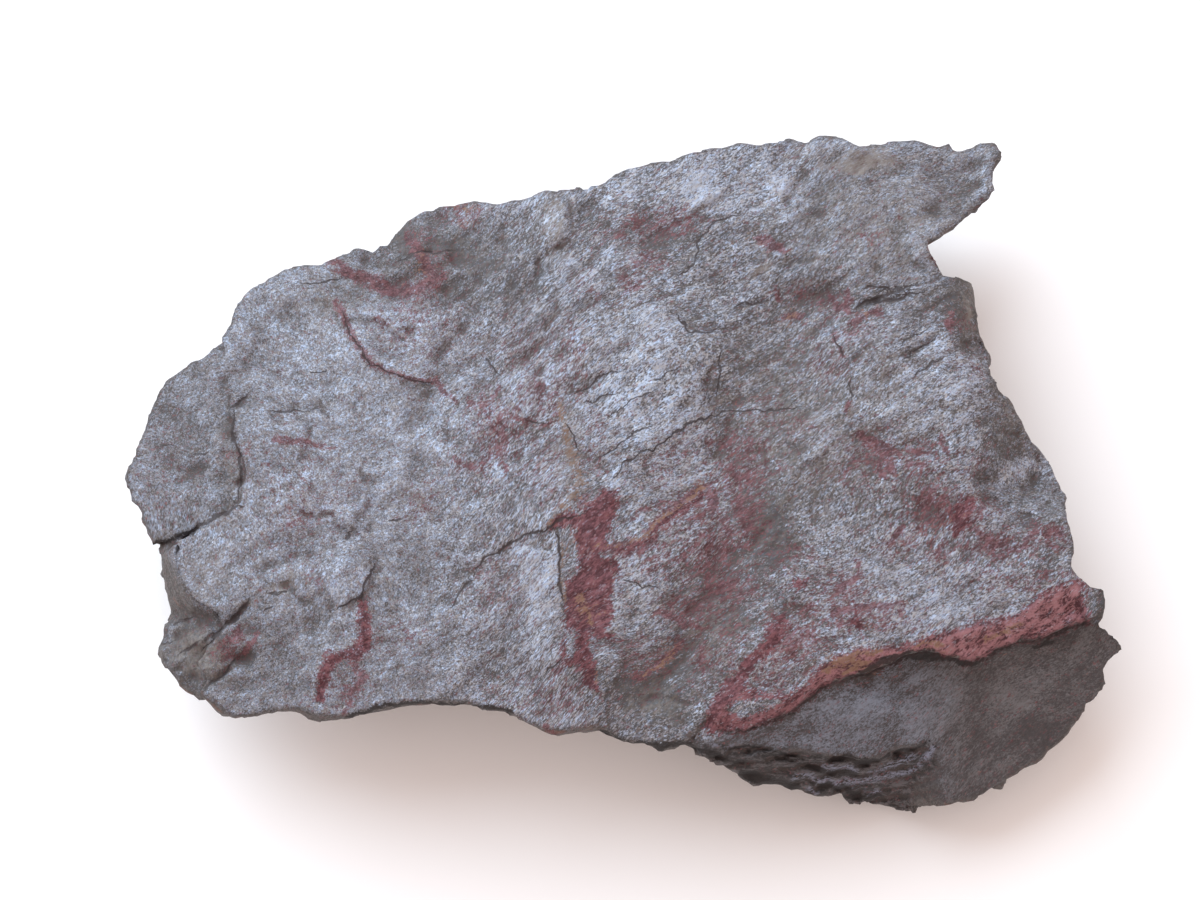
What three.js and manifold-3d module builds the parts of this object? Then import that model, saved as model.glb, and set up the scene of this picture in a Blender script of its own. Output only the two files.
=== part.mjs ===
// A hand specimen of mica schist: one broken slab, 150 mm long, lying on a flat cleavage face.
// Millimetres, +Z up. The origin is under the middle of the slab, on the surface that it rests on.
import * as THREE from "three";
import Module from "manifold-3d";
import { mergeVertices } from "three/addons/utils/BufferGeometryUtils.js";

// Driving dimensions
const LENGTH = 150; // left tip to right tip
const CREST = 30; // highest part of the upper cleavage face
const END_SAG = 3.6; // how far that face drops 60 mm from the crest, towards the left end
const SIDE_SAG = 4; // how far it drops to the front and back edges
const HALF_WIDTH = 43;
const FOLD_DEPTH = 2.2; // the shallow fold that runs down the middle
const FOLD_WIDTH = 9;
const FLANK_DROP = 2.5; // the crease above the right flank lies this far below the crest
const FLANK_SLOPE = 0.85; // fall of the broken right flank, per millimetre
const FLAKE_DROP = 0.6; // the left flake lies this far below the upper face
const CORNER_DROP = 2; // the broken front left corner lies this far below it
const FOOT_HEIGHT = 7; // the foot of the layered front face, above the resting surface
const THINNEST = 2; // no bed is thinner than this
const GRID = 4; // spacing of the points that carry the relief
const PRISM_LOW = -10;
const PRISM_HIGH = 50;

// The edges were traced over a picture of the slab, in its pixels: x to the right, y down.
// The eye is VIEW_DISTANCE from the aim point, leaning VIEW_TILT towards the front of the slab.
const LEFT_TIP_PX = 123;
const RIGHT_TIP_PX = 1125;
const MM_PER_PX = LENGTH / (RIGHT_TIP_PX - LEFT_TIP_PX);
const AIM_PX = [600, 450];
const AIM = new THREE.Vector3(-3.4, 0.4, 26);
const VIEW_DISTANCE = 460;
const VIEW_TILT = THREE.MathUtils.degToRad(14);
const TRACE_STEPS = 8; // rounds that bring a traced pixel onto its surface

const FLAKE_EDGE = [
  [160, 542], [153, 545], [147, 536], [143, 522], [138, 510], [130, 500], [123, 478], [127, 467],
  [134, 455], [140, 440], [148, 414], [155, 402], [158, 391], [166, 381], [190, 363], [203, 357],
  [213, 348], [222, 343],
];
const BACK_EDGE = [
  [223, 337], [232, 312], [237, 301], [246, 289], [256, 286], [280, 271], [294, 266], [310, 264],
  [325, 260], [340, 254], [359, 245], [366, 246], [373, 251], [381, 245], [387, 244], [390, 239],
  [409, 219], [420, 212], [460, 201], [478, 200], [500, 202], [520, 199], [540, 192], [578, 184],
  [584, 187], [600, 183], [612, 173], [628, 169], [642, 166], [652, 160], [676, 159], [684, 154],
  [702, 149], [724, 147], [738, 142], [760, 142], [798, 138], [807, 141], [820, 135], [842, 138],
  [857, 144], [880, 144], [890, 140], [912, 138], [942, 147], [949, 144], [954, 151], [972, 146],
  [986, 141], [997, 140], [1003, 153], [994, 170], [997, 191], [960, 222], [940, 235], [930, 243],
];
const RIGHT_EDGE = [
  [933, 256], [938, 266], [944, 273], [955, 275], [973, 283], [975, 305], [980, 332], [992, 355],
  [991, 366], [999, 388], [1012, 398], [1018, 415], [1033, 442], [1050, 460], [1057, 480],
  [1067, 496], [1068, 520], [1073, 536], [1075, 552], [1072, 566], [1080, 578], [1092, 588],
  [1103, 588], [1107, 597], [1105, 613],
];
const LEDGE = [
  [1085, 621], [1045, 635], [1020, 642], [1000, 648], [985, 657], [972, 660], [945, 656],
  [928, 652], [910, 654], [895, 662], [870, 671], [840, 679], [822, 685], [808, 698], [790, 712],
  [760, 724], [735, 729], [718, 732], [706, 725], [690, 738],
];
const LEAF_EDGE = [
  [1101, 623], [1120, 641], [1125, 650], [1111, 657], [1105, 668], [1106, 684], [1096, 698],
  [1086, 704], [1087, 711], [1062, 738], [1040, 760], [1025, 768], [1001, 789], [991, 787],
  [966, 805],
];
const LEAF_CREASE = [
  [952, 778], [925, 745], [900, 750], [880, 757], [860, 760], [830, 757], [800, 752], [770, 747], [715, 744],
];
const FOOT_EDGE = [
  [944, 804], [907, 813], [892, 806], [852, 803], [840, 797], [808, 797], [798, 791],
  [780, 789], [768, 784], [755, 784], [735, 771], [702, 757], [689, 746],
];
const FRONT_EDGE = [
  [678, 745], [660, 752], [655, 747], [625, 744], [600, 730], [558, 734], [536, 729], [505, 713],
  [480, 711], [470, 707], [420, 704], [400, 706], [362, 716], [345, 720], [320, 720], [302, 714],
  [280, 714], [245, 718], [222, 716], [209, 704],
];
const CORNER_EDGE = [
  [213, 698], [197, 697], [188, 691], [172, 679], [163, 668], [156, 653], [162, 640], [166, 622],
  [170, 613], [163, 585], [158, 550],
];

// Creases and joints on the upper face
const RIGHT_CREASE = [
  [1040, 100], [1012, 190], [936, 246], [942, 290], [958, 335], [985, 390], [978, 440], [982, 500],
  [1010, 528], [1120, 530],
];
const FOLD = [[800, 300], [735, 420], [715, 560], [650, 690], [620, 760]];
const FLAKE_JOINT = [[222, 343], [229, 400], [245, 474], [240, 500], [213, 519], [160, 542]];
const CORNER_JOINT = [[177, 545], [181, 579], [196, 603], [222, 628], [198, 662], [206, 676], [209, 704]];

// Planes, each through three pixels of known height
const LEAF_PLANE = [[720, 738, 25], [1100, 635, 19], [975, 795, 11]];
const FOOT_PLANE = [[715, 744, 24.5], [925, 748, 16], [860, 803, FOOT_HEIGHT]];

const wasm = await Module();
wasm.setup();

// The point at that height which the picture shows at a pixel.
function place([px, py], height) {
  const across = ((px - AIM_PX[0]) * MM_PER_PX) / VIEW_DISTANCE;
  const up = ((AIM_PX[1] - py) * MM_PER_PX) / VIEW_DISTANCE;
  const [sin, cos] = [Math.sin(VIEW_TILT), Math.cos(VIEW_TILT)];
  const reach = (AIM.z + VIEW_DISTANCE * cos - height) / (cos - up * sin);
  const y = AIM.y - VIEW_DISTANCE * sin + reach * (sin + up * cos);
  return new THREE.Vector2(AIM.x + reach * across, y);
}

// The point of a surface that the picture shows at a pixel.
function placeOn(face, pixel) {
  let point = place(pixel, AIM.z);
  for (let i = 0; i < TRACE_STEPS; i++) point = place(pixel, face(point.x, point.y));
  return point;
}

const trace = (face, pixels) => pixels.map((pixel) => placeOn(face, pixel));
const traceAt = (height, pixels) => pixels.map((pixel) => place(pixel, height));

// Distance from a point to a line of points, positive on the right as the line is followed.
function offset(line, point) {
  let best = Infinity;
  let side = 1;
  for (let i = 0; i + 1 < line.length; i++) {
    const along = line[i + 1].clone().sub(line[i]);
    const from = point.clone().sub(line[i]);
    const share = THREE.MathUtils.clamp(from.dot(along) / along.lengthSq(), 0, 1);
    const distance = from.clone().addScaledVector(along, -share).length();
    if (distance < best - 1e-9) {
      best = distance;
      side = along.cross(from) > 0 ? -1 : 1;
    }
  }
  return side * best;
}

// Height of the plane through three pixels of known height.
function planeThrough(corners) {
  const points = corners.map(([px, py, z]) => {
    const { x, y } = place([px, py], z);
    return new THREE.Vector3(x, y, z);
  });
  const plane = new THREE.Plane().setFromCoplanarPoints(...points);
  return (x, y) => -(plane.constant + plane.normal.x * x + plane.normal.y * y) / plane.normal.z;
}

const rightCrease = traceAt(CREST - FLANK_DROP, RIGHT_CREASE);
const fold = traceAt(CREST - FOLD_DEPTH, FOLD);
const leafPlane = planeThrough(LEAF_PLANE);
const footPlane = planeThrough(FOOT_PLANE);

// Upper cleavage face: a low dome with a fold down the middle, cut off by the right flank.
function upperFace(x, y) {
  const point = new THREE.Vector2(x, y);
  const dome = CREST - END_SAG * ((x - 7) / 60) ** 2 - SIDE_SAG * (y / HALF_WIDTH) ** 2;
  const dip = FOLD_DEPTH * Math.exp(-((offset(fold, point) / FOLD_WIDTH) ** 2));
  const flank = CREST - FLANK_DROP + FLANK_SLOPE * offset(rightCrease, point);
  return Math.min(dome - dip, flank);
}

// The dark leaf under the ledge slopes to the front right, and ends in a steep layered face.
const leafFace = (x, y) => Math.min(upperFace(x, y) - 1, leafPlane(x, y));
const footFace = (x, y) => Math.min(leafFace(x, y) - 1, footPlane(x, y));
const flakeFace = (x, y) => upperFace(x, y) - FLAKE_DROP - Math.max(0, -x - 62) * 0.3;
const cornerFace = (x, y) => upperFace(x, y) - CORNER_DROP - Math.max(0, -x - 58) * 0.4;

// Underside: flat where it rests, and rising towards every overhanging edge.
function underside(x, y) {
  const left = 0.42 * (-x - 40);
  const frontLeft = 0.62 * (-0.5 * x - 0.87 * y - 34);
  const back = 0.75 * (y - 34);
  const right = 0.45 * (x - 54);
  return Math.max(0, left, frontLeft, back, right);
}

function solidOf(geometry) {
  const bare = geometry.clone();
  bare.deleteAttribute("normal");
  bare.deleteAttribute("uv");
  const merged = mergeVertices(bare, 1e-4);
  const vertProperties = new Float32Array(merged.attributes.position.array);
  const triVerts = new Uint32Array(merged.index.array);
  return new wasm.Manifold(new wasm.Mesh({ numProp: 3, vertProperties, triVerts }));
}

function geometryOf(solid) {
  const { vertProperties, triVerts } = solid.getMesh();
  const geometry = new THREE.BufferGeometry();
  geometry.setAttribute("position", new THREE.BufferAttribute(vertProperties, 3));
  geometry.setIndex(new THREE.BufferAttribute(triVerts, 1));
  geometry.computeVertexNormals();
  return geometry;
}

// One bed of the slab: a block with a shaped roof and floor, cut to its outline.
function bed(outline, roof) {
  const box = new THREE.Box2().setFromPoints(outline);
  box.min.divideScalar(GRID).floor().multiplyScalar(GRID);
  box.max.divideScalar(GRID).ceil().multiplyScalar(GRID);
  const size = box.getSize(new THREE.Vector2());
  const middle = box.getCenter(new THREE.Vector2());
  const [columns, rows] = [Math.round(size.x / GRID), Math.round(size.y / GRID)];
  const block = new THREE.BoxGeometry(size.x, size.y, 1, columns, rows, 1);
  block.translate(middle.x, middle.y, 0);
  const points = block.attributes.position;
  for (let i = 0; i < points.count; i++) {
    const [x, y] = [points.getX(i), points.getY(i)];
    const floor = underside(x, y);
    points.setZ(i, points.getZ(i) > 0 ? Math.max(roof(x, y), floor + THINNEST) : floor);
  }
  const prism = new THREE.ExtrudeGeometry(new THREE.Shape(outline), {
    depth: PRISM_HIGH - PRISM_LOW,
    bevelEnabled: false,
  });
  prism.translate(0, 0, PRISM_LOW);
  return solidOf(block).intersect(solidOf(prism));
}

const backEdge = trace(upperFace, BACK_EDGE);
const rightEdge = trace(upperFace, RIGHT_EDGE);
const frontEdge = trace(upperFace, FRONT_EDGE);
const leafRim = trace(leafFace, LEAF_EDGE);

function upperBed() {
  const left = trace(upperFace, [...CORNER_JOINT.toReversed(), ...FLAKE_JOINT.toReversed()]);
  return bed([...left, ...backEdge, ...rightEdge, ...trace(upperFace, LEDGE), ...frontEdge], upperFace);
}

function leafBed() {
  const crease = trace(leafFace, LEAF_CREASE);
  return bed([backEdge[0], ...rightEdge, ...leafRim, ...crease], leafFace);
}

function footBed() {
  return bed([...rightEdge.slice(-1), ...leafRim, ...traceAt(FOOT_HEIGHT, FOOT_EDGE)], footFace);
}

function flakeBed() {
  const inner = trace(flakeFace, [[300, 400], [300, 520]]);
  return bed([...trace(flakeFace, FLAKE_EDGE), ...inner], flakeFace);
}

function cornerBed() {
  const inner = trace(cornerFace, [[160, 542], [260, 520], [300, 690], [222, 716]]);
  return bed([...trace(cornerFace, CORNER_EDGE), ...inner], cornerFace);
}

const slab = [leafBed(), footBed(), flakeBed(), cornerBed()].reduce(
  (whole, next) => whole.add(next),
  upperBed(),
);

const schist = new THREE.Mesh(
  geometryOf(slab),
  new THREE.MeshStandardMaterial({ color: 0x85868f, roughness: 0.55, metalness: 0.15 }),
);
schist.name = "schist_slab";

const part = new THREE.Group();
part.add(schist);
export default part;
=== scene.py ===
# A hand specimen of mica schist on a pale floor. The stone is one detailed mesh in place of the plain
# slab of the frame. Shapes are worked out in millimetres, and turned into metres when the mesh is made.
import math
from types import SimpleNamespace

import bpy
import numpy as np
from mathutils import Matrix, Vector


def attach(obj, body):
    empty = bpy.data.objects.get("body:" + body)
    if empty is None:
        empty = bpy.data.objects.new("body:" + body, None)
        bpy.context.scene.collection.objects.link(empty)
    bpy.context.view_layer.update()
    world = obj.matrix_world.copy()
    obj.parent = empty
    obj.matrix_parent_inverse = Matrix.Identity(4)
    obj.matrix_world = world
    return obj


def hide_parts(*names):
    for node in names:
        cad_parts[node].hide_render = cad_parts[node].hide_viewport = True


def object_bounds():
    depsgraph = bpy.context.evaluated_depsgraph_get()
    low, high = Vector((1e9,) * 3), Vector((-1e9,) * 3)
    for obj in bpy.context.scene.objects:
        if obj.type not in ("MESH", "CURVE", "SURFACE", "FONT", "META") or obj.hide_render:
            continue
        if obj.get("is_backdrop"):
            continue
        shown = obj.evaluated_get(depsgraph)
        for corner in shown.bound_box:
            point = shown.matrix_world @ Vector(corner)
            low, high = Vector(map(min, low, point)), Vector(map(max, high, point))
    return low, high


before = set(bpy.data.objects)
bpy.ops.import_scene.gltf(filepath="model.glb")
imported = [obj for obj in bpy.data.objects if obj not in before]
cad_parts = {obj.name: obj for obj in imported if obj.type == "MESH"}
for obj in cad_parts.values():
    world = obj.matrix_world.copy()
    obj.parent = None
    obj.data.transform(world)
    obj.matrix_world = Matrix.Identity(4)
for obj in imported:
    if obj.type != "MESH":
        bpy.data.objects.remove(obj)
cad_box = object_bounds()

# Driving dimensions of the slab, in mm, with the slopes of its faces
LENGTH = 150.0
HALF_WIDTH = 43.0
CREST = 30.0
DOME_MIDDLE = 7.0
DOME_REACH = 60.0
END_SAG = 3.6
SIDE_SAG = 4.0
BED_BEND = 0.8
FOLD_DEPTH = 2.2
FOLD_WIDTH = 9.0
FLANK_DROP = 2.5
FLANK_SLOPE = 0.85
FLAKE_DROP = 0.6
FLAKE_BEND_X = -62.0
FLAKE_FALL = 0.3
CORNER_DROP = 2.0
BEVEL_DROP = 1.9
CHAMFER_DROP = 1.3
CHAMFER_WIDTH = 0.75
FOOT_HEIGHT = 7.0
THINNEST = 2.0
EDGE_THICKNESS = 9.0
OVERHANG = 0.3

# A millimetre in metres
MM = 0.001

# Rim of the far right edge and the groove behind it: rise, distance from the edge and half width in mm
RIM = [(0.9, 1.2, 1.4), (-0.55, 4.4, 1.7)]

# Tight waves near the far right corner: height and length in mm, and turn
CRIMP_HEIGHT = 0.2
CRIMP_LENGTH = 1.9
CRIMP_TURN = math.radians(32)

# Slopes under the overhanging edges: slope, direction, and distance from the middle in mm
UNDERCUTS = [(0.42, -1, 0, 40), (0.62, -0.5, -0.87, 34), (0.75, 0, 1, 34), (0.45, 1, 0, 54)]

# Layers that stand out of the broken sides: thickness, reach and spread in mm, and seed
LAYERS = [(3.6, 1.0, 9.0, 121), (1.35, 0.55, 5.0, 122)]

# How far from a bed's outline its wall is broken, and how far rust is measured outside and inside its
# outline, in mm
WALL_REACH = 4.0
RUST_FAR = 4.0
RUST_DEEP = 1.2

# Resolution of the mesh, the space that it is worked out in, and how readily it is thinned where the
# upward part of its normal is in a range
VOXEL = 0.44
MOST_TRIANGLES = 192000
GRID = [(-80.0, 80.0), (-55.0, 55.5), (-1.0, CREST + 2.5)]
THINNING = [(-2.0, -0.3, 1.0), (-0.3, 0.5, 0.75), (0.5, 2.0, 0.5)]

# The picture that the marks were traced over, in its pixels: x to the right, y down
LEFT_TIP_PX = 123
RIGHT_TIP_PX = 1125
MM_PER_PX = LENGTH / (RIGHT_TIP_PX - LEFT_TIP_PX)
PICTURE_WIDTH_PX = 1200
AIM_PX = (600, 450)
AIM = (-3.4, 0.4, 26.0)
VIEW_DISTANCE = 460.0
VIEW_TILT = math.radians(14)

# Edges of the beds
FLAKE_EDGE = [
    (160, 542), (153, 545), (147, 536), (143, 522), (138, 510), (130, 500), (123, 478), (127, 467),
    (134, 455), (140, 440), (148, 414), (155, 402), (158, 391), (166, 381), (190, 363), (203, 357),
    (213, 348), (222, 343),
]
BACK_EDGE = [
    (223, 337), (232, 312), (237, 301), (246, 289), (256, 286), (280, 271), (294, 266), (310, 264),
    (325, 260), (340, 254), (359, 245), (366, 246), (373, 251), (381, 245), (387, 244), (390, 239),
    (409, 219), (420, 212), (460, 201), (478, 200), (500, 202), (520, 199), (540, 192), (578, 184),
    (584, 187), (600, 183), (612, 173), (628, 169), (642, 166), (652, 160), (676, 159), (684, 154),
    (702, 149), (724, 147), (738, 142), (760, 142), (798, 138), (807, 141), (820, 135), (842, 138),
    (857, 144), (880, 144), (890, 140), (912, 138), (942, 147), (949, 144), (954, 151), (972, 146),
    (986, 141), (997, 140), (1003, 153), (994, 170), (997, 191), (960, 222), (940, 235), (930, 243),
]
RIGHT_EDGE = [
    (933, 256), (938, 266), (944, 273), (955, 275), (973, 283), (975, 305), (980, 332), (992, 355),
    (991, 366), (999, 388), (1012, 398), (1018, 415), (1033, 442), (1050, 460), (1057, 480),
    (1067, 496), (1068, 520), (1073, 536), (1075, 552), (1072, 566), (1080, 578), (1092, 588),
    (1103, 588), (1107, 597), (1105, 613),
]
LEDGE = [
    (1085, 621), (1045, 635), (1020, 642), (1000, 648), (985, 657), (972, 660), (945, 656),
    (928, 652), (910, 654), (895, 662), (870, 671), (840, 679), (822, 685), (808, 698), (790, 712),
    (760, 724), (735, 729), (718, 732), (706, 725), (690, 738),
]
LEAF_EDGE = [
    (1101, 623), (1120, 641), (1125, 650), (1111, 657), (1105, 668), (1106, 684), (1096, 698),
    (1086, 704), (1087, 711), (1062, 738), (1040, 760), (1025, 768), (1001, 789), (991, 787),
    (966, 805),
]
LEAF_CREASE = [
    (952, 778), (925, 745), (900, 750), (880, 757), (860, 760), (830, 757), (800, 752), (770, 747),
    (715, 744),
]
FOOT_EDGE = [
    (944, 804), (907, 813), (892, 806), (852, 803), (840, 797), (808, 797), (798, 791), (780, 789),
    (768, 784), (755, 784), (735, 771), (702, 757), (689, 746),
]
FRONT_EDGE = [
    (678, 745), (660, 752), (655, 747), (625, 744), (600, 730), (558, 734), (536, 729), (505, 713),
    (480, 711), (470, 707), (420, 704), (400, 706), (362, 716), (345, 720), (320, 720), (302, 714),
    (280, 714), (245, 718), (222, 716), (209, 704),
]
CORNER_EDGE = [
    (213, 698), (197, 697), (188, 691), (172, 679), (163, 668), (156, 653), (162, 640), (166, 622),
    (170, 613), (163, 585), (158, 550),
]

FRONT_FACE_END = [(905, 820), (915, 785), (936, 765), (940, 742), (922, 744)]
FRONT_FACE = LEAF_CREASE[2:] + FOOT_EDGE[::-1][:-2] + FRONT_FACE_END

# Hidden ends of the beds, which run on under their neighbours
FLAKE_ROOT = [(300, 400), (300, 520)]
CORNER_ROOT = [(160, 542), (172, 520), (260, 500), (300, 690), (222, 716)]
FOOT_ROOT = [(655, 735)]

# Creases and joints on the upper face
RIGHT_CREASE = [
    (1040, 100), (1012, 190), (936, 246), (942, 290), (958, 335), (985, 390), (978, 440),
    (982, 500), (1010, 528), (1120, 530),
]
FOLD = [(800, 300), (735, 420), (715, 560), (650, 690), (620, 760)]
FLAKE_JOINT = [
    (222, 343), (229, 400), (233, 430), (245, 474), (240, 500), (213, 519), (193, 529), (160, 542),
]
CORNER_JOINT = [
    (177, 545), (175, 556), (181, 579), (187, 591), (196, 603), (206, 608), (215, 614), (222, 628),
    (207, 646), (198, 662), (206, 676), (199, 693), (209, 704),
]
BEVEL_TOP = [
    (690, 738), (700, 716), (712, 702), (745, 690), (780, 698), (800, 690), (815, 675), (835, 660),
    (860, 650), (900, 650), (940, 633), (980, 625), (1020, 616), (1040, 598), (1062, 587),
    (1080, 580),
]

# Planes, each through three pixels of known height
LEAF_PLANE = [(720, 738, 25.0), (1100, 635, 19), (975, 795, 11)]
FOOT_PLANE = [(715, 744, 24.5), (925, 748, 16), (860, 803, FOOT_HEIGHT)]

# Open cracks: half width in mm at the first and the last point, depth in mm, and the line
OPEN_CRACKS = [
    (0.7, 0.3, 4, [(157, 544), (174, 538), (187, 533), (197, 526)]),
]

# Steps of the upper face: height, reach and width of the crack on it in mm, and the line. The raised
# side is on its left.
STEPS = [
    (0.75, 7.0, 0.34, [(333, 612), (350, 603), (360, 600), (368, 582), (375, 563)]),
    (0.45, 6.0, 0.17,
     [(337, 303), (345, 322), (358, 343), (370, 364), (392, 374), (425, 383), (441, 382)]),
    (0.3, 8.0, 0.26,
     [(610, 485), (625, 462), (640, 453), (655, 450), (675, 432), (702, 418), (718, 412)]),
    (0.3, 6.0, 0.28,
     [(471, 578), (483, 560), (502, 547), (525, 536), (545, 529), (563, 519), (582, 513)]),
    (0.35, 6.0, 0.3, [(720, 325), (708, 332), (690, 331), (676, 313)]),
    (0.4, 7.0, 0.24, [(745, 214), (715, 222), (700, 240), (693, 265), (678, 280)]),
    (0.6, 6.0, 0.26, [(455, 250), (420, 253), (395, 262)]),
    (0.4, 5.0, 0.3, [(562, 600), (560, 560), (556, 530)]),
]

# Furrows and creases of the upper face: half width, depth and width of the crack in mm (0 for none),
# and the line
CREASES = [
    (0.8, 0.5, 0, [(424, 368), (438, 355), (447, 343), (460, 333), (474, 329)]),
    (0.7, 0.45, 0, [(437, 312), (449, 304), (460, 297), (474, 286)]),
    (0.7, 0.45, 0, [(534, 258), (558, 250), (577, 243)]),
    (0.6, 0.4, 0, [(570, 200), (573, 222), (572, 236)]),
    (1.0, 0.6, 0, [(543, 338), (550, 326), (556, 312), (559, 296)]),
    (0.7, 0.45, 0, [(520, 366), (534, 350), (545, 336)]),
    (0.7, 0.45, 0, [(540, 396), (542, 378), (539, 362)]),
    (0.9, 0.5, 0.2, [(573, 397), (590, 386), (604, 374), (622, 370)]),
    (0.6, 0.35, 0.2, [(584, 405), (600, 396), (616, 392)]),
    (0.7, 0.45, 0.26, [(735, 307), (746, 304), (768, 301)]),
    (1.2, 0.5, 0, [(780, 263), (800, 261), (826, 264)]),
    (1.2, 0.4, 0, [(784, 301), (806, 299), (830, 294), (846, 291)]),
    (0.6, 0.8, 0.38, [(858, 308), (864, 302), (880, 299), (893, 292), (918, 285)]),
    (0.6, 0.6, 0.3, [(872, 305), (888, 301), (905, 298), (922, 292)]),
    (0.6, 0.4, 0.26, [(860, 286), (880, 288), (905, 287), (920, 282)]),
    (0.8, 0.5, 0.2, [(900, 364), (912, 352), (927, 345), (942, 334)]),
    (0.7, 0.4, 0.22, [(912, 378), (926, 366), (945, 356)]),
    (0.8, 0.45, 0, [(804, 420), (818, 408), (830, 396)]),
    (1.0, 0.65, 0, [(810, 166), (804, 176), (794, 188), (786, 200), (780, 212)]),
    (0.8, 0.45, 0, [(700, 470), (716, 452), (728, 430), (736, 404), (744, 380)]),
    (1.1, 0.5, 0, [(645, 705), (662, 682), (684, 660), (700, 636)]),
    (0.8, 0.45, 0, [(745, 560), (757, 540), (770, 520), (784, 505)]),
    (0.4, 0.9, 0.46, [(251, 600), (240, 612), (223, 628), (203, 648)]),
    (0.5, 0.9, 0.38, [(203, 690), (214, 680), (227, 671), (237, 660)]),
    (1.0, 0.9, 0, [(232, 662), (243, 660), (254, 664)]),
    (0.5, 0.5, 0, [(318, 708), (321, 692), (327, 676)]),
    (0.9, 0.45, 0, [(255, 578), (272, 566), (300, 556), (330, 556)]),
    (0.8, 0.45, 0, [(296, 578), (284, 586), (300, 600), (326, 606)]),
    (0.5, 0.5, 0.36, [(246, 396), (238, 404), (230, 409)]),
    (0.4, 0.4, 0.3, [(233, 412), (235, 440), (241, 466), (240, 500)]),
]

# Crevices of the front, painted black partly as shadow, and painted shadow under the lip and the edges
# of the plate: half width in mm at the first and the last point, and the line
CREVICE_AND_SHADOW_LINES = [
    (0.18, 0.22, [(724, 748), (750, 747), (775, 750), (800, 757), (820, 760)]),
    (0.15, 0.2, [(745, 752), (770, 755), (795, 761)]),
    (0.35, 0.6, [(826, 760), (840, 757), (852, 759), (866, 763)]),
    (0.3, 0.2, [(866, 763), (880, 760), (900, 752), (920, 747), (931, 738)]),
    (0.35, 0.6, [(806, 766), (822, 769), (838, 774), (856, 773)]),
    (0.45, 0.6, [(812, 783), (830, 786), (846, 789), (858, 797)]),
    (0.35, 0.45, [(866, 799), (876, 796), (884, 800)]),
    (0.9, 1.2, [(742, 774), (768, 782), (795, 789)]),
    (0.5, 0.3, [(690, 746), (708, 753), (728, 760), (742, 762)]),
    (0.45, 0.6, [(600, 731), (625, 743), (655, 746), (672, 743), (690, 745)]),
    (0.3, 0.3, [(350, 717), (384, 706), (420, 702), (470, 705), (512, 712)]),
    (0.3, 0.9, [(862, 672), (885, 662), (905, 657), (932, 655)]),
    (0.6, 0.4, [(932, 655), (950, 660), (975, 664)]),
    (0.3, 0.4, [(1034, 647), (1052, 641)]),
    (0.4, 0.3, [(150, 547), (160, 543), (174, 538), (187, 533), (197, 526)]),
]

# Lumps and pits: middle, half width, half height, turn in degrees, and rise in mm
LUMPS = [
    (803, 276, 26, 13, 0, 0.6), (556, 226, 22, 32, 20, 0.8), (757, 266, 10, 6, 0, 0.5),
    (820, 214, 8, 6, 0, -0.35), (962, 205, 24, 14, 20, -0.5), (1020, 448, 20, 24, 30, 0.9),
    (1024, 500, 36, 22, 0, 0.8), (240, 481, 5, 5, 0, -0.9), (453, 432, 5, 13, 10, -0.4),
    (422, 395, 9, 7, 0, -0.3), (270, 340, 10, 8, 0, -0.2), (427, 574, 16, 9, 0, -0.3),
    (482, 494, 18, 13, 0, -0.3), (500, 534, 7, 6, 0, -0.3), (312, 492, 5, 7, 0, -0.3),
    (450, 605, 10, 7, 0, -0.35), (340, 575, 34, 26, 40, 0.45), (280, 583, 13, 8, 0, -0.4),
    (240, 662, 14, 7, 20, -0.9), (212, 625, 6, 5, 0, -0.5), (745, 712, 46, 16, 15, 0.5),
    (870, 660, 40, 8, 10, 0.5), (958, 640, 30, 12, 20, 0.3), (300, 290, 40, 12, 20, 0.5),
    (410, 250, 30, 16, 25, 0.7), (470, 222, 36, 14, 10, 0.5), (395, 283, 26, 10, 10, -0.6),
    (640, 238, 40, 14, -10, -0.6), (880, 450, 26, 16, 0, -0.4), (770, 535, 22, 34, 0, -0.6),
    (930, 515, 14, 20, 0, -0.5), (963, 415, 18, 34, -15, 0.5), (640, 690, 16, 12, 0, -0.5),
    (590, 640, 18, 60, 0, -0.25), (200, 440, 26, 30, 0, 0.5), (840, 340, 60, 22, -25, 0.5),
    (905, 420, 60, 20, -28, 0.5), (700, 350, 50, 18, -35, 0.4), (610, 440, 60, 16, -30, 0.5),
    (500, 300, 26, 50, 30, 0.5), (380, 450, 60, 40, 0, 0.4), (470, 640, 40, 50, 0, 0.4),
    (170, 500, 22, 18, 0, 0.4), (195, 470, 14, 6, 30, -0.4),
]

# Rust that covers the stone
RUST_PATCHES = [
    [(604, 489), (614, 486), (620, 494), (617, 508), (613, 522), (611, 532), (606, 541), (616, 546),
     (630, 545), (646, 535), (658, 522), (670, 511), (684, 502), (702, 487), (706, 494), (688, 511),
     (668, 526), (655, 537), (644, 547), (630, 554), (614, 556), (620, 563), (617, 577), (614, 592),
     (613, 612), (611, 626), (606, 632), (617, 637), (630, 642), (606, 642), (600, 640), (592, 636),
     (590, 648), (594, 662), (598, 674), (600, 690), (590, 692), (581, 686), (580, 668), (572, 666),
     (561, 667), (559, 655), (561, 635), (563, 616), (565, 598), (563, 580), (575, 575), (577, 560),
     (576, 545), (572, 528), (556, 528), (543, 530), (556, 513), (570, 508), (582, 514), (590, 500)],
    [(357, 603), (369, 598), (373, 648), (363, 659), (346, 662), (333, 667), (326, 702), (314, 702),
     (318, 668), (325, 653), (346, 649), (358, 636)],
    [(708, 706), (722, 682), (735, 670), (748, 658), (762, 640), (766, 625), (780, 614), (790, 620),
     (786, 632), (778, 647), (762, 664), (748, 678), (744, 692), (770, 700), (735, 729), (706, 725)],
    [(945, 500), (952, 510), (960, 496), (976, 498), (974, 520), (958, 538), (948, 534), (950, 520)],
    [(792, 580), (800, 574), (809, 577), (806, 588), (795, 592)],
    [(851, 600), (860, 604), (860, 618), (870, 620), (862, 632), (851, 628)],
]
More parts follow.
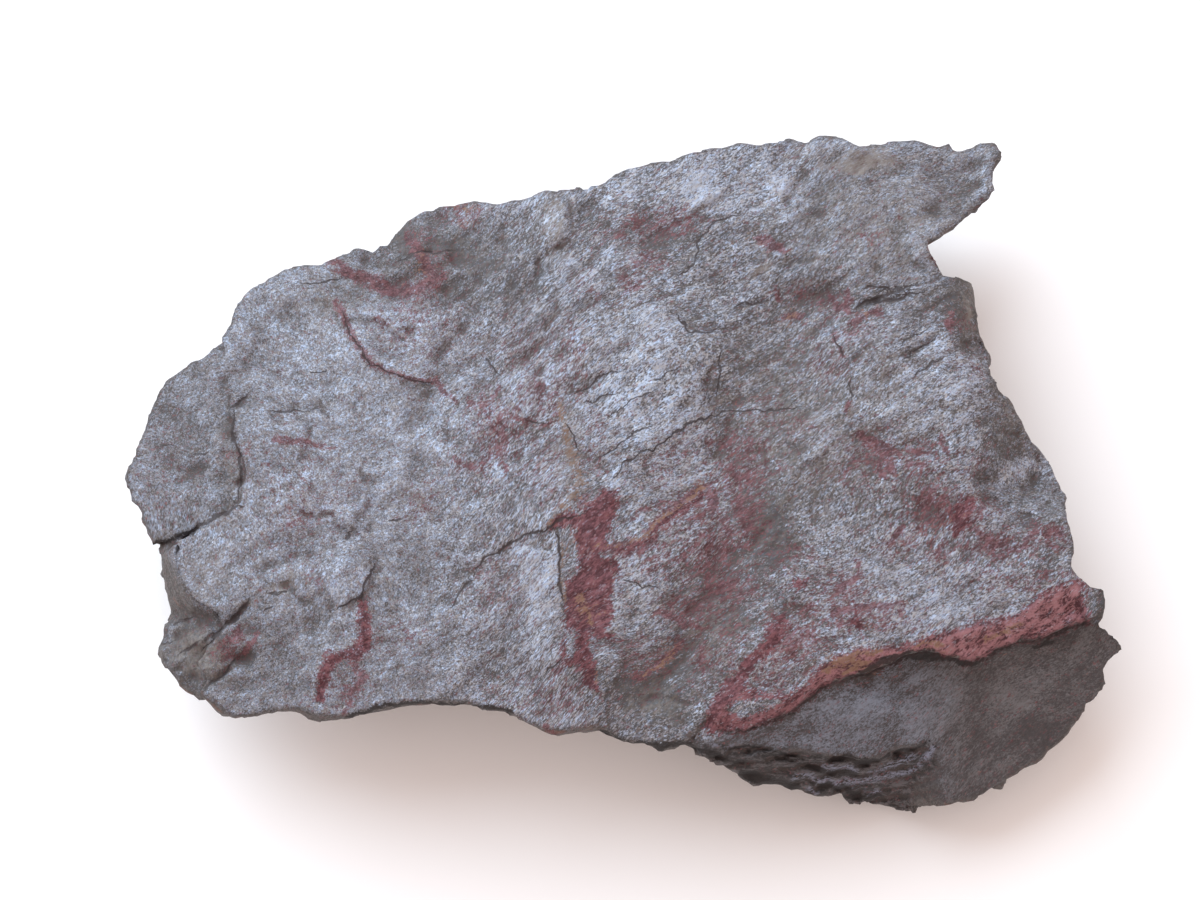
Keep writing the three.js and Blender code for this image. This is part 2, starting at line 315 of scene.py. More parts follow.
RUST_HOLES = [
    [(566, 634), (574, 631), (577, 645), (573, 655), (567, 655)],
    [(601, 553), (612, 552), (611, 560), (602, 560)],
    [(724, 708), (752, 697), (778, 703), (744, 717)],
]

# Thin rust: half width in mm at the first and the last point, and the line
RUST_LINES = [
    (0.8, 1.1, [(330, 260), (350, 272), (360, 277), (386, 287)]),
    (0.6, 0.45,
     [(337, 303), (345, 322), (358, 343), (375, 367), (400, 376), (437, 382), (444, 390)]),
    (0.4, 0.3, [(444, 390), (450, 397), (456, 404)]),
    (0.5, 0.5, [(471, 405), (480, 405)]),
    (0.8, 0.6, [(500, 419), (504, 432), (506, 445), (498, 455)]),
    (0.4, 0.4, [(456, 458), (461, 466), (476, 469), (491, 458), (500, 445)]),
    (0.3, 0.4, [(482, 401), (491, 423), (500, 434)]),
    (0.3, 0.3, [(500, 388), (487, 406)]),
    (0.3, 0.5, [(511, 417), (530, 422), (545, 425), (556, 416)]),
    (0.3, 0.2, [(502, 464), (508, 475)]),
    (0.3, 0.3, [(632, 520), (640, 512), (652, 507), (672, 502)]),
    (0.8, 0.8, [(637, 677), (650, 672), (660, 665), (668, 658), (675, 650), (680, 642)]),
    (0.5, 0.3, [(702, 650), (702, 675)]),
    (0.7, 0.5, [(355, 664), (364, 680), (350, 695), (345, 712)]),
    (0.6, 0.3, [(275, 440), (300, 442), (324, 446), (337, 447)]),
    (0.5, 0.5, [(258, 634), (244, 654)]),
    (0.8, 0.4, [(239, 631), (222, 646)]),
    (0.9, 1.2, [(410, 240), (420, 256), (430, 272)]),
    (0.6, 0.9, [(758, 240), (768, 242), (782, 250)]),
    (0.3, 0.6, [(777, 288), (777, 297)]),
    (0.7, 0.4, [(785, 318), (805, 316)]),
    (0.6, 0.6, [(828, 295), (838, 308), (850, 300)]),
    (0.5, 0.8, [(846, 293), (846, 312)]),
    (0.6, 0.8, [(852, 322), (864, 317), (876, 313)]),
    (0.6, 0.6, [(951, 316), (951, 326)]),
    (0.2, 0.3, [(833, 333), (840, 345), (845, 357)]),
    (0.5, 0.3, [(849, 404), (848, 414)]),
    (0.7, 0.7,
     [(975, 530), (990, 540), (1006, 548), (1018, 550), (1034, 534), (1048, 532), (1063, 530)]),
    (0.5, 0.5, [(1050, 545), (1060, 547)]),
    (0.6, 0.5, [(888, 545), (896, 535), (903, 526)]),
    (0.5, 0.4, [(935, 557), (948, 541)]),
    (0.6, 0.3, [(941, 439), (947, 453)]),
    (1.3, 1.5, [(606, 549), (628, 550), (642, 544), (656, 528), (676, 511), (705, 489)]),
    (0.8, 0.5, [(740, 500), (742, 515), (745, 535)]),
    (0.7, 0.5, [(735, 468), (741, 490)]),
    (0.7, 0.5, [(712, 494), (714, 514)]),
    (0.7, 0.4, [(660, 612), (680, 620), (702, 628)]),
    (0.9, 0.6, [(835, 610), (855, 607), (900, 604)]),
    (0.5, 0.8, [(800, 615), (812, 602)]),
    (0.5, 0.5, [(856, 560), (860, 575), (840, 590)]),
    (0.7, 0.5, [(555, 673), (562, 655)]),
    (0.6, 0.2, [(546, 728), (556, 733)]),
    (0.6, 0.3, [(931, 250), (935, 266)]),
    (0.8, 1.2, [(386, 290), (408, 291), (425, 286), (440, 276)]),
    (0.6, 0.9, [(858, 434), (872, 447), (884, 452), (893, 470)]),
    (0.7, 0.4, [(870, 440), (888, 446), (903, 460), (925, 466)]),
    (0.5, 0.3, [(882, 455), (878, 470), (889, 478)]),
    (0.4, 0.3, [(905, 448), (922, 452), (938, 450)]),
    (0.5, 0.4, [(690, 520), (705, 512), (712, 498)]),
    (0.5, 0.3, [(722, 560), (735, 548), (752, 545)]),
    (0.4, 0.3, [(700, 590), (716, 583), (735, 585)]),
]

# Loose specks of rust: middle, half width, half height, and how thickly they lie
RUST_SPECKS = [
    (565, 365, 28, 48, 0.38), (583, 283, 16, 12, 0.3), (631, 282, 12, 10, 0.6),
    (632, 222, 18, 16, 0.58), (612, 238, 18, 12, 0.5), (672, 226, 28, 16, 0.54),
    (650, 258, 26, 12, 0.52), (466, 213, 20, 9, 0.62), (416, 236, 12, 14, 0.46),
    (430, 262, 16, 16, 0.52), (406, 306, 9, 7, 0.62), (388, 326, 18, 9, 0.46),
    (868, 238, 16, 12, 0.36), (740, 445, 36, 20, 0.56), (738, 480, 30, 26, 0.7),
    (710, 545, 42, 52, 0.6), (725, 585, 40, 30, 0.6), (745, 520, 20, 34, 0.68),
    (690, 610, 40, 26, 0.52), (795, 430, 22, 12, 0.36), (780, 462, 14, 10, 0.42),
    (872, 456, 32, 28, 0.58), (915, 462, 40, 24, 0.44), (934, 506, 28, 30, 0.68),
    (962, 512, 26, 26, 0.7), (1000, 546, 44, 14, 0.62), (1044, 536, 30, 12, 0.5),
    (905, 535, 28, 18, 0.42), (942, 549, 18, 14, 0.4), (845, 590, 30, 14, 0.62),
    (812, 606, 20, 14, 0.46), (868, 615, 50, 18, 0.62), (790, 640, 34, 32, 0.66),
    (770, 672, 40, 22, 0.4), (1000, 575, 60, 20, 0.3), (825, 360, 30, 24, 0.3),
    (850, 330, 34, 22, 0.36), (970, 366, 14, 16, 0.36), (973, 461, 12, 14, 0.42),
    (500, 430, 34, 36, 0.5), (540, 400, 34, 26, 0.46), (545, 470, 30, 40, 0.3),
    (288, 526, 18, 9, 0.52), (318, 572, 20, 10, 0.32), (237, 449, 14, 10, 0.36),
    (424, 502, 18, 20, 0.34), (345, 690, 26, 24, 0.36), (400, 640, 30, 20, 0.28),
    (300, 500, 50, 60, 0.22), (232, 640, 24, 18, 0.62), (520, 700, 50, 24, 0.24),
    (640, 660, 34, 20, 0.42), (655, 560, 30, 26, 0.46), (585, 500, 20, 16, 0.45),
    (590, 450, 22, 40, 0.28), (600, 600, 46, 90, 0.22), (420, 330, 50, 40, 0.28),
    (700, 665, 16, 26, 0.36), (500, 580, 30, 40, 0.28), (160, 470, 30, 50, 0.18),
    (955, 320, 12, 14, 0.42), (815, 300, 34, 16, 0.36), (760, 410, 30, 24, 0.3),
    (470, 470, 30, 16, 0.34), (405, 287, 30, 10, 0.52), (660, 470, 30, 20, 0.4),
    (680, 450, 34, 18, 0.28), (560, 700, 40, 30, 0.34), (730, 640, 30, 30, 0.36),
    (780, 560, 40, 30, 0.34), (520, 350, 30, 40, 0.26), (1050, 580, 40, 16, 0.42),
]

# Yellow and orange rust: middle, half width, half height, and strength
OCHRE_SPOTS = [
    (568, 440, 7, 26, 0.35), (577, 476, 5, 14, 0.3), (562, 508, 14, 6, 0.35),
    (588, 606, 14, 12, 0.6), (595, 676, 7, 11, 0.8), (562, 505, 12, 12, 0.5),
    (575, 500, 14, 10, 0.4), (692, 490, 12, 6, 0.4), (850, 662, 30, 8, 0.9), (930, 648, 14, 4, 0.5),
    (1004, 632, 18, 6, 0.8), (866, 624, 7, 6, 0.7), (756, 238, 7, 4, 0.8), (795, 317, 12, 5, 0.7),
    (864, 318, 12, 6, 0.6), (848, 410, 3, 6, 0.8), (421, 262, 8, 12, 0.6), (466, 213, 12, 6, 0.6),
    (668, 652, 12, 10, 0.45), (564, 560, 5, 40, 0.4), (956, 520, 8, 12, 0.4),
    (400, 284, 10, 4, 0.3), (576, 540, 14, 20, 0.3),
]

# Streaks of yellow rust: half width in mm at the first and the last point, and the line
OCHRE_LINES = [
    (0.4, 0.9, [(560, 400), (562, 420), (568, 445), (577, 468), (582, 486)]),
    (0.9, 0.6, [(577, 494), (562, 508), (549, 523)]),
    (0.7, 0.4, [(825, 672), (838, 662), (856, 655), (880, 652)]),
    (0.4, 0.4, [(842, 674), (856, 668), (872, 663)]),
    (0.25, 0.35, [(600, 547), (622, 546), (646, 536), (664, 517), (682, 504), (702, 487)]),
    (0.6, 0.4, [(579, 596), (584, 608), (592, 622)]),
    (0.2, 0.3, [(640, 676), (658, 667), (672, 655)]),
    (0.4, 0.4, [(918, 646), (932, 643), (944, 645)]),
    (0.4, 0.5, [(985, 640), (1000, 633), (1020, 625)]),
    (0.4, 0.5, [(563, 545), (561, 575), (564, 600)]),
]

# Tan weathering: middle, half width, half height, and strength
TAN_SPOTS = [
    (556, 226, 22, 30, 0.55), (865, 162, 44, 11, 0.8), (800, 160, 26, 8, 0.35),
    (757, 266, 10, 6, 0.7), (205, 575, 40, 30, 0.35), (195, 655, 40, 36, 0.5),
    (284, 584, 14, 8, 0.6), (424, 502, 16, 20, 0.3), (330, 300, 60, 26, 0.25),
    (967, 305, 9, 28, 0.6), (1015, 410, 30, 30, 0.35), (568, 455, 16, 60, 0.4),
    (660, 700, 40, 36, 0.35), (230, 470, 14, 60, 0.35), (640, 330, 60, 30, 0.2),
    (720, 640, 40, 60, 0.3), (885, 380, 60, 70, 0.3), (470, 250, 80, 30, 0.2),
    (800, 430, 120, 150, 0.3), (890, 230, 130, 80, 0.32),
]

# Painted sheen where the mica catches the light and painted shade where it turns away, partly also its
# own brighter and duller patches: middle, half width, half height, turn in degrees, and change of
# brightness
PAINTED_SHEEN_AND_SHADE = [
    (782, 184, 30, 18, -30, 0.5), (700, 190, 60, 22, -10, 0.46), (330, 350, 80, 50, 0, 0.14),
    (640, 390, 62, 110, 15, 0.26), (538, 590, 22, 66, 0, 0.44), (640, 600, 26, 62, 0, 0.28),
    (900, 590, 130, 40, -14, 0.25), (966, 412, 16, 36, 0, 0.22), (690, 440, 30, 90, 15, 0.14),
    (430, 420, 90, 70, 0, 0.1), (320, 500, 90, 60, 0, 0.14), (935, 345, 30, 30, 0, 0.12),
    (1020, 468, 26, 14, 10, 0.5), (610, 350, 40, 40, 0, 0.08), (345, 585, 30, 24, 40, 0.12),
    (835, 450, 18, 16, 0, 0.16), (430, 250, 115, 36, -20, -0.56), (345, 300, 40, 20, 0, -0.16),
    (655, 238, 50, 24, -10, -0.42), (608, 268, 18, 12, 0, -0.25), (775, 430, 62, 110, 15, -0.32),
    (768, 535, 34, 40, 0, -0.72), (715, 612, 50, 46, 20, -0.6), (655, 692, 60, 38, -30, -0.7),
    (700, 560, 30, 60, 0, -0.1), (815, 200, 32, 28, 0, -0.34), (808, 281, 38, 22, 0, -0.22),
    (962, 206, 22, 20, 0, -0.25), (997, 162, 8, 10, 0, -0.4), (924, 213, 8, 10, 0, -0.24),
    (926, 153, 12, 5, 0, -0.3), (880, 240, 60, 50, 0, -0.08), (1003, 424, 22, 40, -15, -0.22),
    (870, 470, 24, 18, 0, -0.44), (1045, 550, 36, 34, 0, -0.18), (925, 500, 24, 24, 0, -0.34),
    (195, 450, 60, 90, 0, -0.24), (260, 670, 70, 36, 0, -0.12), (1036, 470, 30, 60, -30, 0.04),
    (215, 560, 30, 34, 0, 0.12), (482, 494, 22, 16, 0, -0.14), (427, 576, 22, 12, 0, -0.16),
    (453, 432, 7, 14, 0, -0.2), (270, 338, 16, 10, 0, -0.12), (500, 534, 9, 8, 0, -0.18),
    (810, 360, 40, 40, 0, -0.06), (235, 640, 34, 30, 0, -0.25), (190, 655, 36, 44, 0, -0.55),
    (540, 560, 12, 20, 0, 0.1), (1100, 604, 14, 22, 0, -0.7), (870, 300, 60, 26, -14, -0.12),
    (956, 304, 18, 34, 0, -0.7), (595, 218, 16, 20, 0, -0.15), (1034, 726, 24, 16, -20, -0.3),
    (1012, 697, 20, 12, 0, 0.3), (957, 694, 12, 10, 0, 0.28), (850, 715, 66, 22, -8, 0.16),
    (980, 740, 14, 40, 20, -0.2), (1070, 665, 34, 18, -20, -0.1), (746, 528, 12, 16, 0, -0.22),
    (783, 556, 14, 20, 20, -0.25), (705, 577, 16, 14, 0, -0.2), (685, 663, 16, 12, -30, -0.25),
    (652, 675, 18, 14, 0, -0.25), (740, 470, 14, 20, 0, -0.15),
]

# Painted glints on the shining edges of layers at the front: half width in mm at the first and the last
# point, and the line
PAINTED_FRONT_GLINTS = [
    (0.4, 0.4, [(870, 773), (884, 770), (898, 763), (912, 755)]),
    (0.4, 0.4, [(858, 784), (880, 778), (900, 774), (914, 769), (925, 758), (936, 744)]),
    (0.8, 0.7, [(840, 784), (850, 781), (860, 783)]),
    (0.35, 0.35, [(822, 766), (840, 768), (858, 769)]),
    (0.35, 0.45, [(792, 776), (810, 777), (832, 781), (846, 784)]),
    (0.4, 0.3, [(866, 793), (880, 792)]),
    (0.4, 0.3, [(808, 790), (818, 793)]),
    (0.5, 0.4, [(700, 736), (712, 744), (732, 745)]),
]

# Hairline cracks that follow no step or crease: width in mm, and the line
HAIRLINES = [
    (0.2, [(675, 429), (694, 421), (714, 413), (735, 411), (760, 410), (792, 410), (809, 407)]),
    (0.28, [(475, 572), (465, 588), (450, 607)]),
    (0.2, [(485, 357), (500, 373)]),
    (0.2, [(653, 381), (679, 367)]),
    (0.22, [(622, 579), (635, 583), (660, 591)]),
    (0.24, [(563, 425), (570, 430), (574, 437), (577, 450)]),
    (0.26, [(530, 422), (545, 423)]),
    (0.24, [(560, 658), (545, 673)]),
    (0.2, [(267, 410), (290, 411), (311, 412)]),
    (0.2, [(309, 371), (327, 372)]),
    (0.22, [(302, 282), (320, 283), (333, 280), (345, 276)]),
    (0.3, [(389, 521), (401, 518)]),
    (0.26, [(345, 538), (352, 532)]),
    (0.36, [(190, 530), (198, 524), (207, 523), (215, 516), (226, 513), (233, 507), (243, 505)]),
    (0.24, [(263, 612), (274, 606)]),
    (0.24, [(268, 595), (287, 592)]),
    (0.3, [(173, 625), (184, 620), (193, 618)]),
    (0.26, [(158, 646), (172, 641)]),
    (0.34, [(181, 652), (190, 648), (199, 643)]),
    (0.2, [(900, 345), (915, 336), (930, 326)]),
    (0.2, [(722, 345), (718, 380), (716, 400)]),
    (0.24, [(833, 333), (840, 345), (845, 357)]),
    (0.22, [(850, 372), (851, 398)]),
    (0.26, [(706, 700), (708, 708)]),
    (0.2, [(596, 456), (612, 450), (628, 437), (646, 426)]),
    (0.2, [(605, 420), (630, 402), (655, 388)]),
    (0.22, [(160, 446), (175, 444)]),
    (0.22, [(195, 454), (208, 452)]),
]

# Other places, in pixels: ovals with their middle, half sizes and turn in degrees, a line, and the
# two columns or rows between which something changes
LUMPY_BACK = [(400, 245), (150, 55), -20]
CRIMPED = [(915, 325), (75, 62), 0]
UNDER_LIP = [(905, 668), (110, 34), -12]
LEAF_RIDGE = [(925, 748), (945, 720), (966, 690)]
STREAKS_DEEPEN = (430, 620)
STREAKS_SHARPEN = (480, 600)
CONTRAST_GROWS = (400, 520)
RIM_GROWS = (760, 830)
LIP_HOLLOW_GROWS = (770, 850)
LIP_REDDENS = (770, 830)
FOOT_FADES = (956, 890)
CORNER_BAND_STARTS = (628, 604)
FLANK_STARTS = (330, 380)
FLANK_ENDS = (560, 530)
BACK_RIGHT_X = (740, 840)
BACK_RIGHT_Y = (330, 260)
LIP_RIGHT_X = (740, 820)
LIP_RIGHT_Y = (500, 560)

# Colours of the mica, of the leaf, sides and front, of dust, of painted shade and glints, and of the
# rust
MICA_DARK = (0.058, 0.055, 0.058)
MICA_GREY = (0.176, 0.184, 0.215)
# The bluish white of the brightest flakes is a painted reflection of the window
MICA_BRIGHT = (0.375, 0.41, 0.485)
MICA_WARM = (0.17, 0.145, 0.130)
WARM_TINT = (1.06, 1.0, 0.92)
WARM_SMALL_TINT = (1.07, 1.0, 0.91)
COOL_TINT = (0.94, 1.0, 1.08)
LEAF_DARK = (0.046, 0.041, 0.043)
LEAF_BLUE = (0.185, 0.205, 0.250)
LEAF_GREY = (0.140, 0.132, 0.135)
SIDE_DARK = (0.040, 0.034, 0.032)
SIDE_GREY = (0.140, 0.128, 0.120)
SIDE_STAIN = (0.20, 0.085, 0.055)
FRONT_DARK = (0.020, 0.018, 0.018)
FRONT_GREY = (0.105, 0.098, 0.104)
PAINTED_FRONT_GLINT = (0.20, 0.215, 0.285)
DUST = (0.235, 0.210, 0.190)
# Painted shade in hollows, in a dirt colour
HOLLOW_SHADE_AND_DIRT = (0.062, 0.050, 0.046)
# Painted shadow in crevices and under the lip
CREVICE_SHADOW = (0.014, 0.011, 0.011)
CRACK = (0.034, 0.025, 0.026)
RUST_DARK = (0.054, 0.014, 0.019)
RUST_RED = (0.182, 0.069, 0.081)
RUST_ROSY = (0.300, 0.142, 0.155)
RUST_HAZE = (0.150, 0.085, 0.088)
OCHRE_DARK = (0.175, 0.062, 0.040)
OCHRE_PALE = (0.330, 0.185, 0.140)
OCHRE_HAZE = (0.190, 0.120, 0.080)

# Room: the floor's colour and half width in m, a window's place, size, power and colour, and the light
# from all around
FLOOR_COLOUR = (0.94, 0.94, 0.94)
FLOOR_HALF = 3.0
WINDOW_PLACE = (-0.42, 0.58, 0.56)
WINDOW_SIZE = 1.1
WINDOW_POWER = 12.0
WINDOW_COLOUR = (0.70, 0.87, 1.0)
ROOM_COLOUR = (1.0, 0.84, 0.79)
ROOM_STRENGTH = 0.95


def to_picture(x, y, z):
    """The pixel where the picture shows a point."""
    sin, cos = math.sin(VIEW_TILT), math.cos(VIEW_TILT)
    across = x - AIM[0]
    along = y - AIM[1] + VIEW_DISTANCE * sin
    below = AIM[2] + VIEW_DISTANCE * cos - z
    depth = along * sin + below * cos
    rise = along * cos - below * sin
    scale = VIEW_DISTANCE / MM_PER_PX / depth
    return AIM_PX[0] + across * scale, AIM_PX[1] - rise * scale


def place(px, py, height):
    """The point at that height which the picture shows at a pixel."""
    sin, cos = math.sin(VIEW_TILT), math.cos(VIEW_TILT)
    across = (px - AIM_PX[0]) * MM_PER_PX / VIEW_DISTANCE
    up = (AIM_PX[1] - py) * MM_PER_PX / VIEW_DISTANCE
    reach = (AIM[2] + VIEW_DISTANCE * cos - height) / (cos - up * sin)
    return AIM[0] + reach * across, AIM[1] - VIEW_DISTANCE * sin + reach * (sin + up * cos)


def mixed(a, b, share):
    return a + (b - a) * share


def smooth(low, high, value):
    """0 at the first limit and 1 at the second, with a soft change between them."""
    t = np.clip((value - low) / (high - low), 0, 1)
    return t * t * (3 - 2 * t)


def smooth_min(a, b, radius):
    blend = np.clip(0.5 + 0.5 * (b - a) / radius, 0, 1)
    return mixed(b, a, blend) - radius * blend * (1 - blend)


def bell(gap, width):
    return np.exp(-((gap / width) ** 2))


def tapered(passed, low, high):
    """1 along a line, less near both ends."""
    return smooth(low, high, passed) * smooth(1 - low, 1 - high, passed)


def line_offset(line, px, py):
    """Distance to a line in pixels, the side of it (1 on its right), and the share of it passed."""
    best = np.full(px.shape, 1e9)
    side = np.ones(px.shape)
    passed = np.zeros(px.shape)
    for i, ((ax, ay), (bx, by)) in enumerate(zip(line, line[1:])):
        dx, dy = bx - ax, by - ay
        if dx == dy == 0:
            continue
        share = np.clip(((px - ax) * dx + (py - ay) * dy) / (dx * dx + dy * dy), 0, 1)
        gap = np.hypot(px - ax - share * dx, py - ay - share * dy)
        nearer = gap < best - 1e-9
        best = np.where(nearer, gap, best)
        side = np.where(nearer, np.where(dx * (py - ay) - dy * (px - ax) > 0, 1, -1), side)
        passed = np.where(nearer, (i + share) / (len(line) - 1), passed)
    return best, side, passed


def line_gap(line, px, py):
    """Distance to a line in mm."""
    return line_offset(line, px, py)[0] * MM_PER_PX


def line_cover(lines, px, py):
    """1 on the lines, fading over their half width in mm, which is given for both ends."""
    total = np.zeros(px.shape)
    for first, last, line in lines:
        gap, _, passed = line_offset(line, px, py)
        total = np.maximum(total, smooth(1.6, 0.2, gap * MM_PER_PX / mixed(first, last, passed)))
    return total


def depth_inside(outline, px, py):
    """Distance to a closed outline in pixels, positive inside."""
    loop = outline + outline[:1]
    gap, _, _ = line_offset(loop, px, py)
    inside = np.zeros(px.shape, bool)
    for (ax, ay), (bx, by) in zip(loop, loop[1:]):
        if ay != by:
            crosses = (ay > py) != (by > py)
            inside ^= crosses & (px < ax + (py - ay) * (bx - ax) / (by - ay))
    return np.where(inside, gap, -gap)


def oval(px, py, middle, half_sizes, turn=0.0, power=3):
    """1 in the middle of an oval, fading across its edge; a higher power fades more sharply."""
    dx, dy = px - middle[0], py - middle[1]
    sin, cos = math.sin(math.radians(turn)), math.cos(math.radians(turn))
    out = np.hypot((dx * cos - dy * sin) / half_sizes[0], (dx * sin + dy * cos) / half_sizes[1])
    return np.exp(-(out ** power))


def scatter(ix, iy, iz, seed):
    """A fixed random number from -1 to 1 for each lattice point."""
    h = np.full(np.shape(ix), (seed * 0x9E3779B1) & 0xFFFFFFFF, np.uint32)
    for cell, factor in ((ix, 0x8DA6B343), (iy, 0xD8163841), (iz, 0xCB1AB31F)):
        h ^= np.asarray(cell).astype(np.int64).astype(np.uint32) * np.uint32(factor)
    for shift, factor in ((15, 0x2C1B3C6D), (12, 0x297A2D39)):
        h ^= h >> np.uint32(shift)
        h *= np.uint32(factor)
    h ^= h >> np.uint32(15)
    return h.astype(np.float32) * np.float32(2 / 2**32) - 1


def noise(x, y, z=None, seed=0):
    """Smooth noise from -1 to 1 with a wavelength of about 2."""
    flat = z is None
    coords = np.broadcast_arrays(*[np.asarray(c, np.float64) for c in ((x, y) if flat else (x, y, z))])
    cells = [np.floor(c) for c in coords]
    fades = [(c - f) ** 3 * ((c - f) * ((c - f) * 6 - 15) + 10) for c, f in zip(coords, cells)]
    total = np.zeros(coords[0].shape, np.float32)
    for dz in (0,) if flat else (0, 1):
        wz = 1 if flat else (fades[2] if dz else 1 - fades[2])
        iz = 0 if flat else cells[2] + dz
        for dy in (0, 1):
            wy = fades[1] if dy else 1 - fades[1]
            for dx in (0, 1):
                wx = fades[0] if dx else 1 - fades[0]
                total += scatter(cells[0] + dx, cells[1] + dy, iz, seed) * wx * wy * wz
    return total


def layered_noise(x, y, z=None, octaves=4, gain=0.5, seed=0):
    """Octaves of noise, each turned a little and half the size of the one before."""
    total, size = 0, 1.0
    for octave in range(octaves):
        total = total + size * noise(x, y, z, seed + octave)
        x, y = 1.62 * x + 1.18 * y + 7.3, 1.62 * y - 1.18 * x + 3.1
        z = None if z is None else 2.0 * z + 5.7
        size *= gain
    return total


def chips(u, v, seed):
    """Flat chips about 1 across, each at its own level and tilt."""
    nearest = np.full(u.shape, 9.0)
    height = np.zeros(u.shape)
    for du in (-1, 0, 1):
        for dv in (-1, 0, 1):
            iu, iv = np.floor(u) + du, np.floor(v) + dv
            draws = [scatter(iu, iv, number, seed) for number in range(5)]
            a = u - iu - 0.5 - 0.42 * draws[0]
            b = v - iv - 0.5 - 0.42 * draws[1]
            level = 0.6 * draws[2] + 0.8 * draws[3] * a + 0.8 * draws[4] * b
            gap = a * a + b * b
            height = np.where(gap < nearest, level, height)
            nearest = np.minimum(nearest, gap)
    return height


def terrace(height, rise, sharpness):
    """Turns a slope into treads and risers."""
    level = np.floor(height / rise)
    share = height / rise - level
    return rise * (level + smooth(0.5 - 0.5 / sharpness, 0.5 + 0.5 / sharpness, share))


def plane_through(corners):
    rows = [(*place(px, py, z), 1.0) for px, py, z in corners]
    a, b, c = np.linalg.solve(np.array(rows), np.array([z for _, _, z in corners]))
    return lambda x, y: a * x + b * y + c


leaf_plane = plane_through(LEAF_PLANE)
foot_plane = plane_through(FOOT_PLANE)


def grain_across(x, y):
    """Coordinate across the streaks of mica, which are level on the left, steepest left of the middle,
    and then at 30 degrees."""
    steep = 11 * np.tanh((x + 14) / 11)
    right = 9 * np.logaddexp(0, (x + 4) / 9)
    wobble = 2.0 * layered_noise(x / 20, y / 20, octaves=2, seed=11)
    return y - 0.08 * x - 0.8 * steep - 0.45 * right + wobble


def streaks(x, y, width, stretch, seed):
    across = grain_across(x, y)
    return noise(x / (width * stretch), across / width, seed=seed)


def wandering(x, y, px, py, size, reach, seed):
    """The pixel moved a little, so that what is drawn with it has an irregular outline."""
    shift_x = reach * layered_noise(x / size, y / size, octaves=3, gain=0.6, seed=seed)
    shift_y = reach * layered_noise(x / size, y / size, octaves=3, gain=0.6, seed=seed + 4)
    return px + shift_x, py + shift_y


def dome(x, y):
    """Height of the upper face without its fold."""
    return CREST - END_SAG * ((x - DOME_MIDDLE) / DOME_REACH) ** 2 - SIDE_SAG * (y / HALF_WIDTH) ** 2


def bed_level(x, y, z):
    """Height counted along the beds, which bend with the dome."""
    return z - BED_BEND * (dome(x, y) - CREST)


def folded_dome(x, y):
    px, py = to_picture(x, y, CREST - FOLD_DEPTH)
    return dome(x, y) - FOLD_DEPTH * bell(line_gap(FOLD, px, py), FOLD_WIDTH)


def flank_plane(x, y):
    """The broken right flank, which falls away from its crease."""
    px, py = to_picture(x, y, CREST - FOLD_DEPTH)
    gap, side, _ = line_offset(RIGHT_CREASE, px, py)
    return CREST - FLANK_DROP + FLANK_SLOPE * side * gap * MM_PER_PX


def crease_relief(px, py):
    """Soft furrows that thin out at their ends."""
    total = np.zeros(px.shape)
    for half, depth, _, line in CREASES:
        gap, _, passed = line_offset(line, px, py)
        total = np.maximum(total, depth * tapered(passed, -0.1, 0.3) * bell(gap * MM_PER_PX, half))
    return -total


def step_relief(px, py):
    """Small steps where a flake of the upper face ends."""
    total = np.zeros(px.shape)
    for height, reach, _, line in STEPS:
        gap, side, passed = line_offset(line, px, py)
        fall = np.exp(-gap * MM_PER_PX / reach)
        edge = smooth(-1.6, 1.6, -side * gap)
        total += height * tapered(passed, 0, 0.15) * fall * edge
    return total


def lump_relief(px, py):
    total = np.zeros(px.shape)
    for mx, my, wide, high, turn, rise in LUMPS:
        total += rise * oval(px, py, (mx, my), (wide, high), turn, 2.6)
    return total


def bevel_relief(x, y, px, py):
    """The broken lower edge of the top bed: it slopes down to the lip in rough chips."""
    low, _, _ = line_offset(LEDGE, px, py)
    high, _, _ = line_offset(BEVEL_TOP, px, py)
    on_bevel = smooth(-3, 3, depth_inside(BEVEL_TOP + LEDGE, px, py))
    share = low / (low + high + 0.1)
    drop = BEVEL_DROP * (1 - share) ** 1.5
    rough = 0.35 * layered_noise(x / 1.7, y / 1.7, octaves=3, gain=0.6, seed=151)
    rough = rough + 0.35 * chips(x / 2.6, y / 1.8, 152)
    return on_bevel * (rough * (1 - 0.5 * share) - drop)


def chamfer_relief(x, y, px, py):
    """The broken front edge, which drops in a narrow band."""
    reach = CHAMFER_WIDTH + 0.45 * layered_noise(x / 2.5, y / 2.5, octaves=2, seed=155)
    return -CHAMFER_DROP * smooth(reach, 0, line_gap(FRONT_EDGE, px, py))


def rim_relief(x, y, px, py):
    """The lumpy raised rim along the far right edge, with a groove behind it."""
    gap = line_gap(BACK_EDGE, px, py)
    share = smooth(*RIM_GROWS, px) * (0.8 + 0.5 * noise(x / 3, y / 3, seed=161))
    return share * sum(rise * bell(gap - middle, half) for rise, middle, half in RIM)


def crimp_relief(x, y, px, py):
    """Tight crenulations near the far right corner."""
    turned = y * math.cos(CRIMP_TURN) - x * math.sin(CRIMP_TURN)
    wave = np.sin(2 * math.pi * turned / CRIMP_LENGTH + 2.4 * noise(x / 5, y / 5, seed=171))
    share = oval(px, py, *CRIMPED)
    return CRIMP_HEIGHT * share * wave * (0.7 + 0.6 * noise(x / 4, y / 4, seed=172))


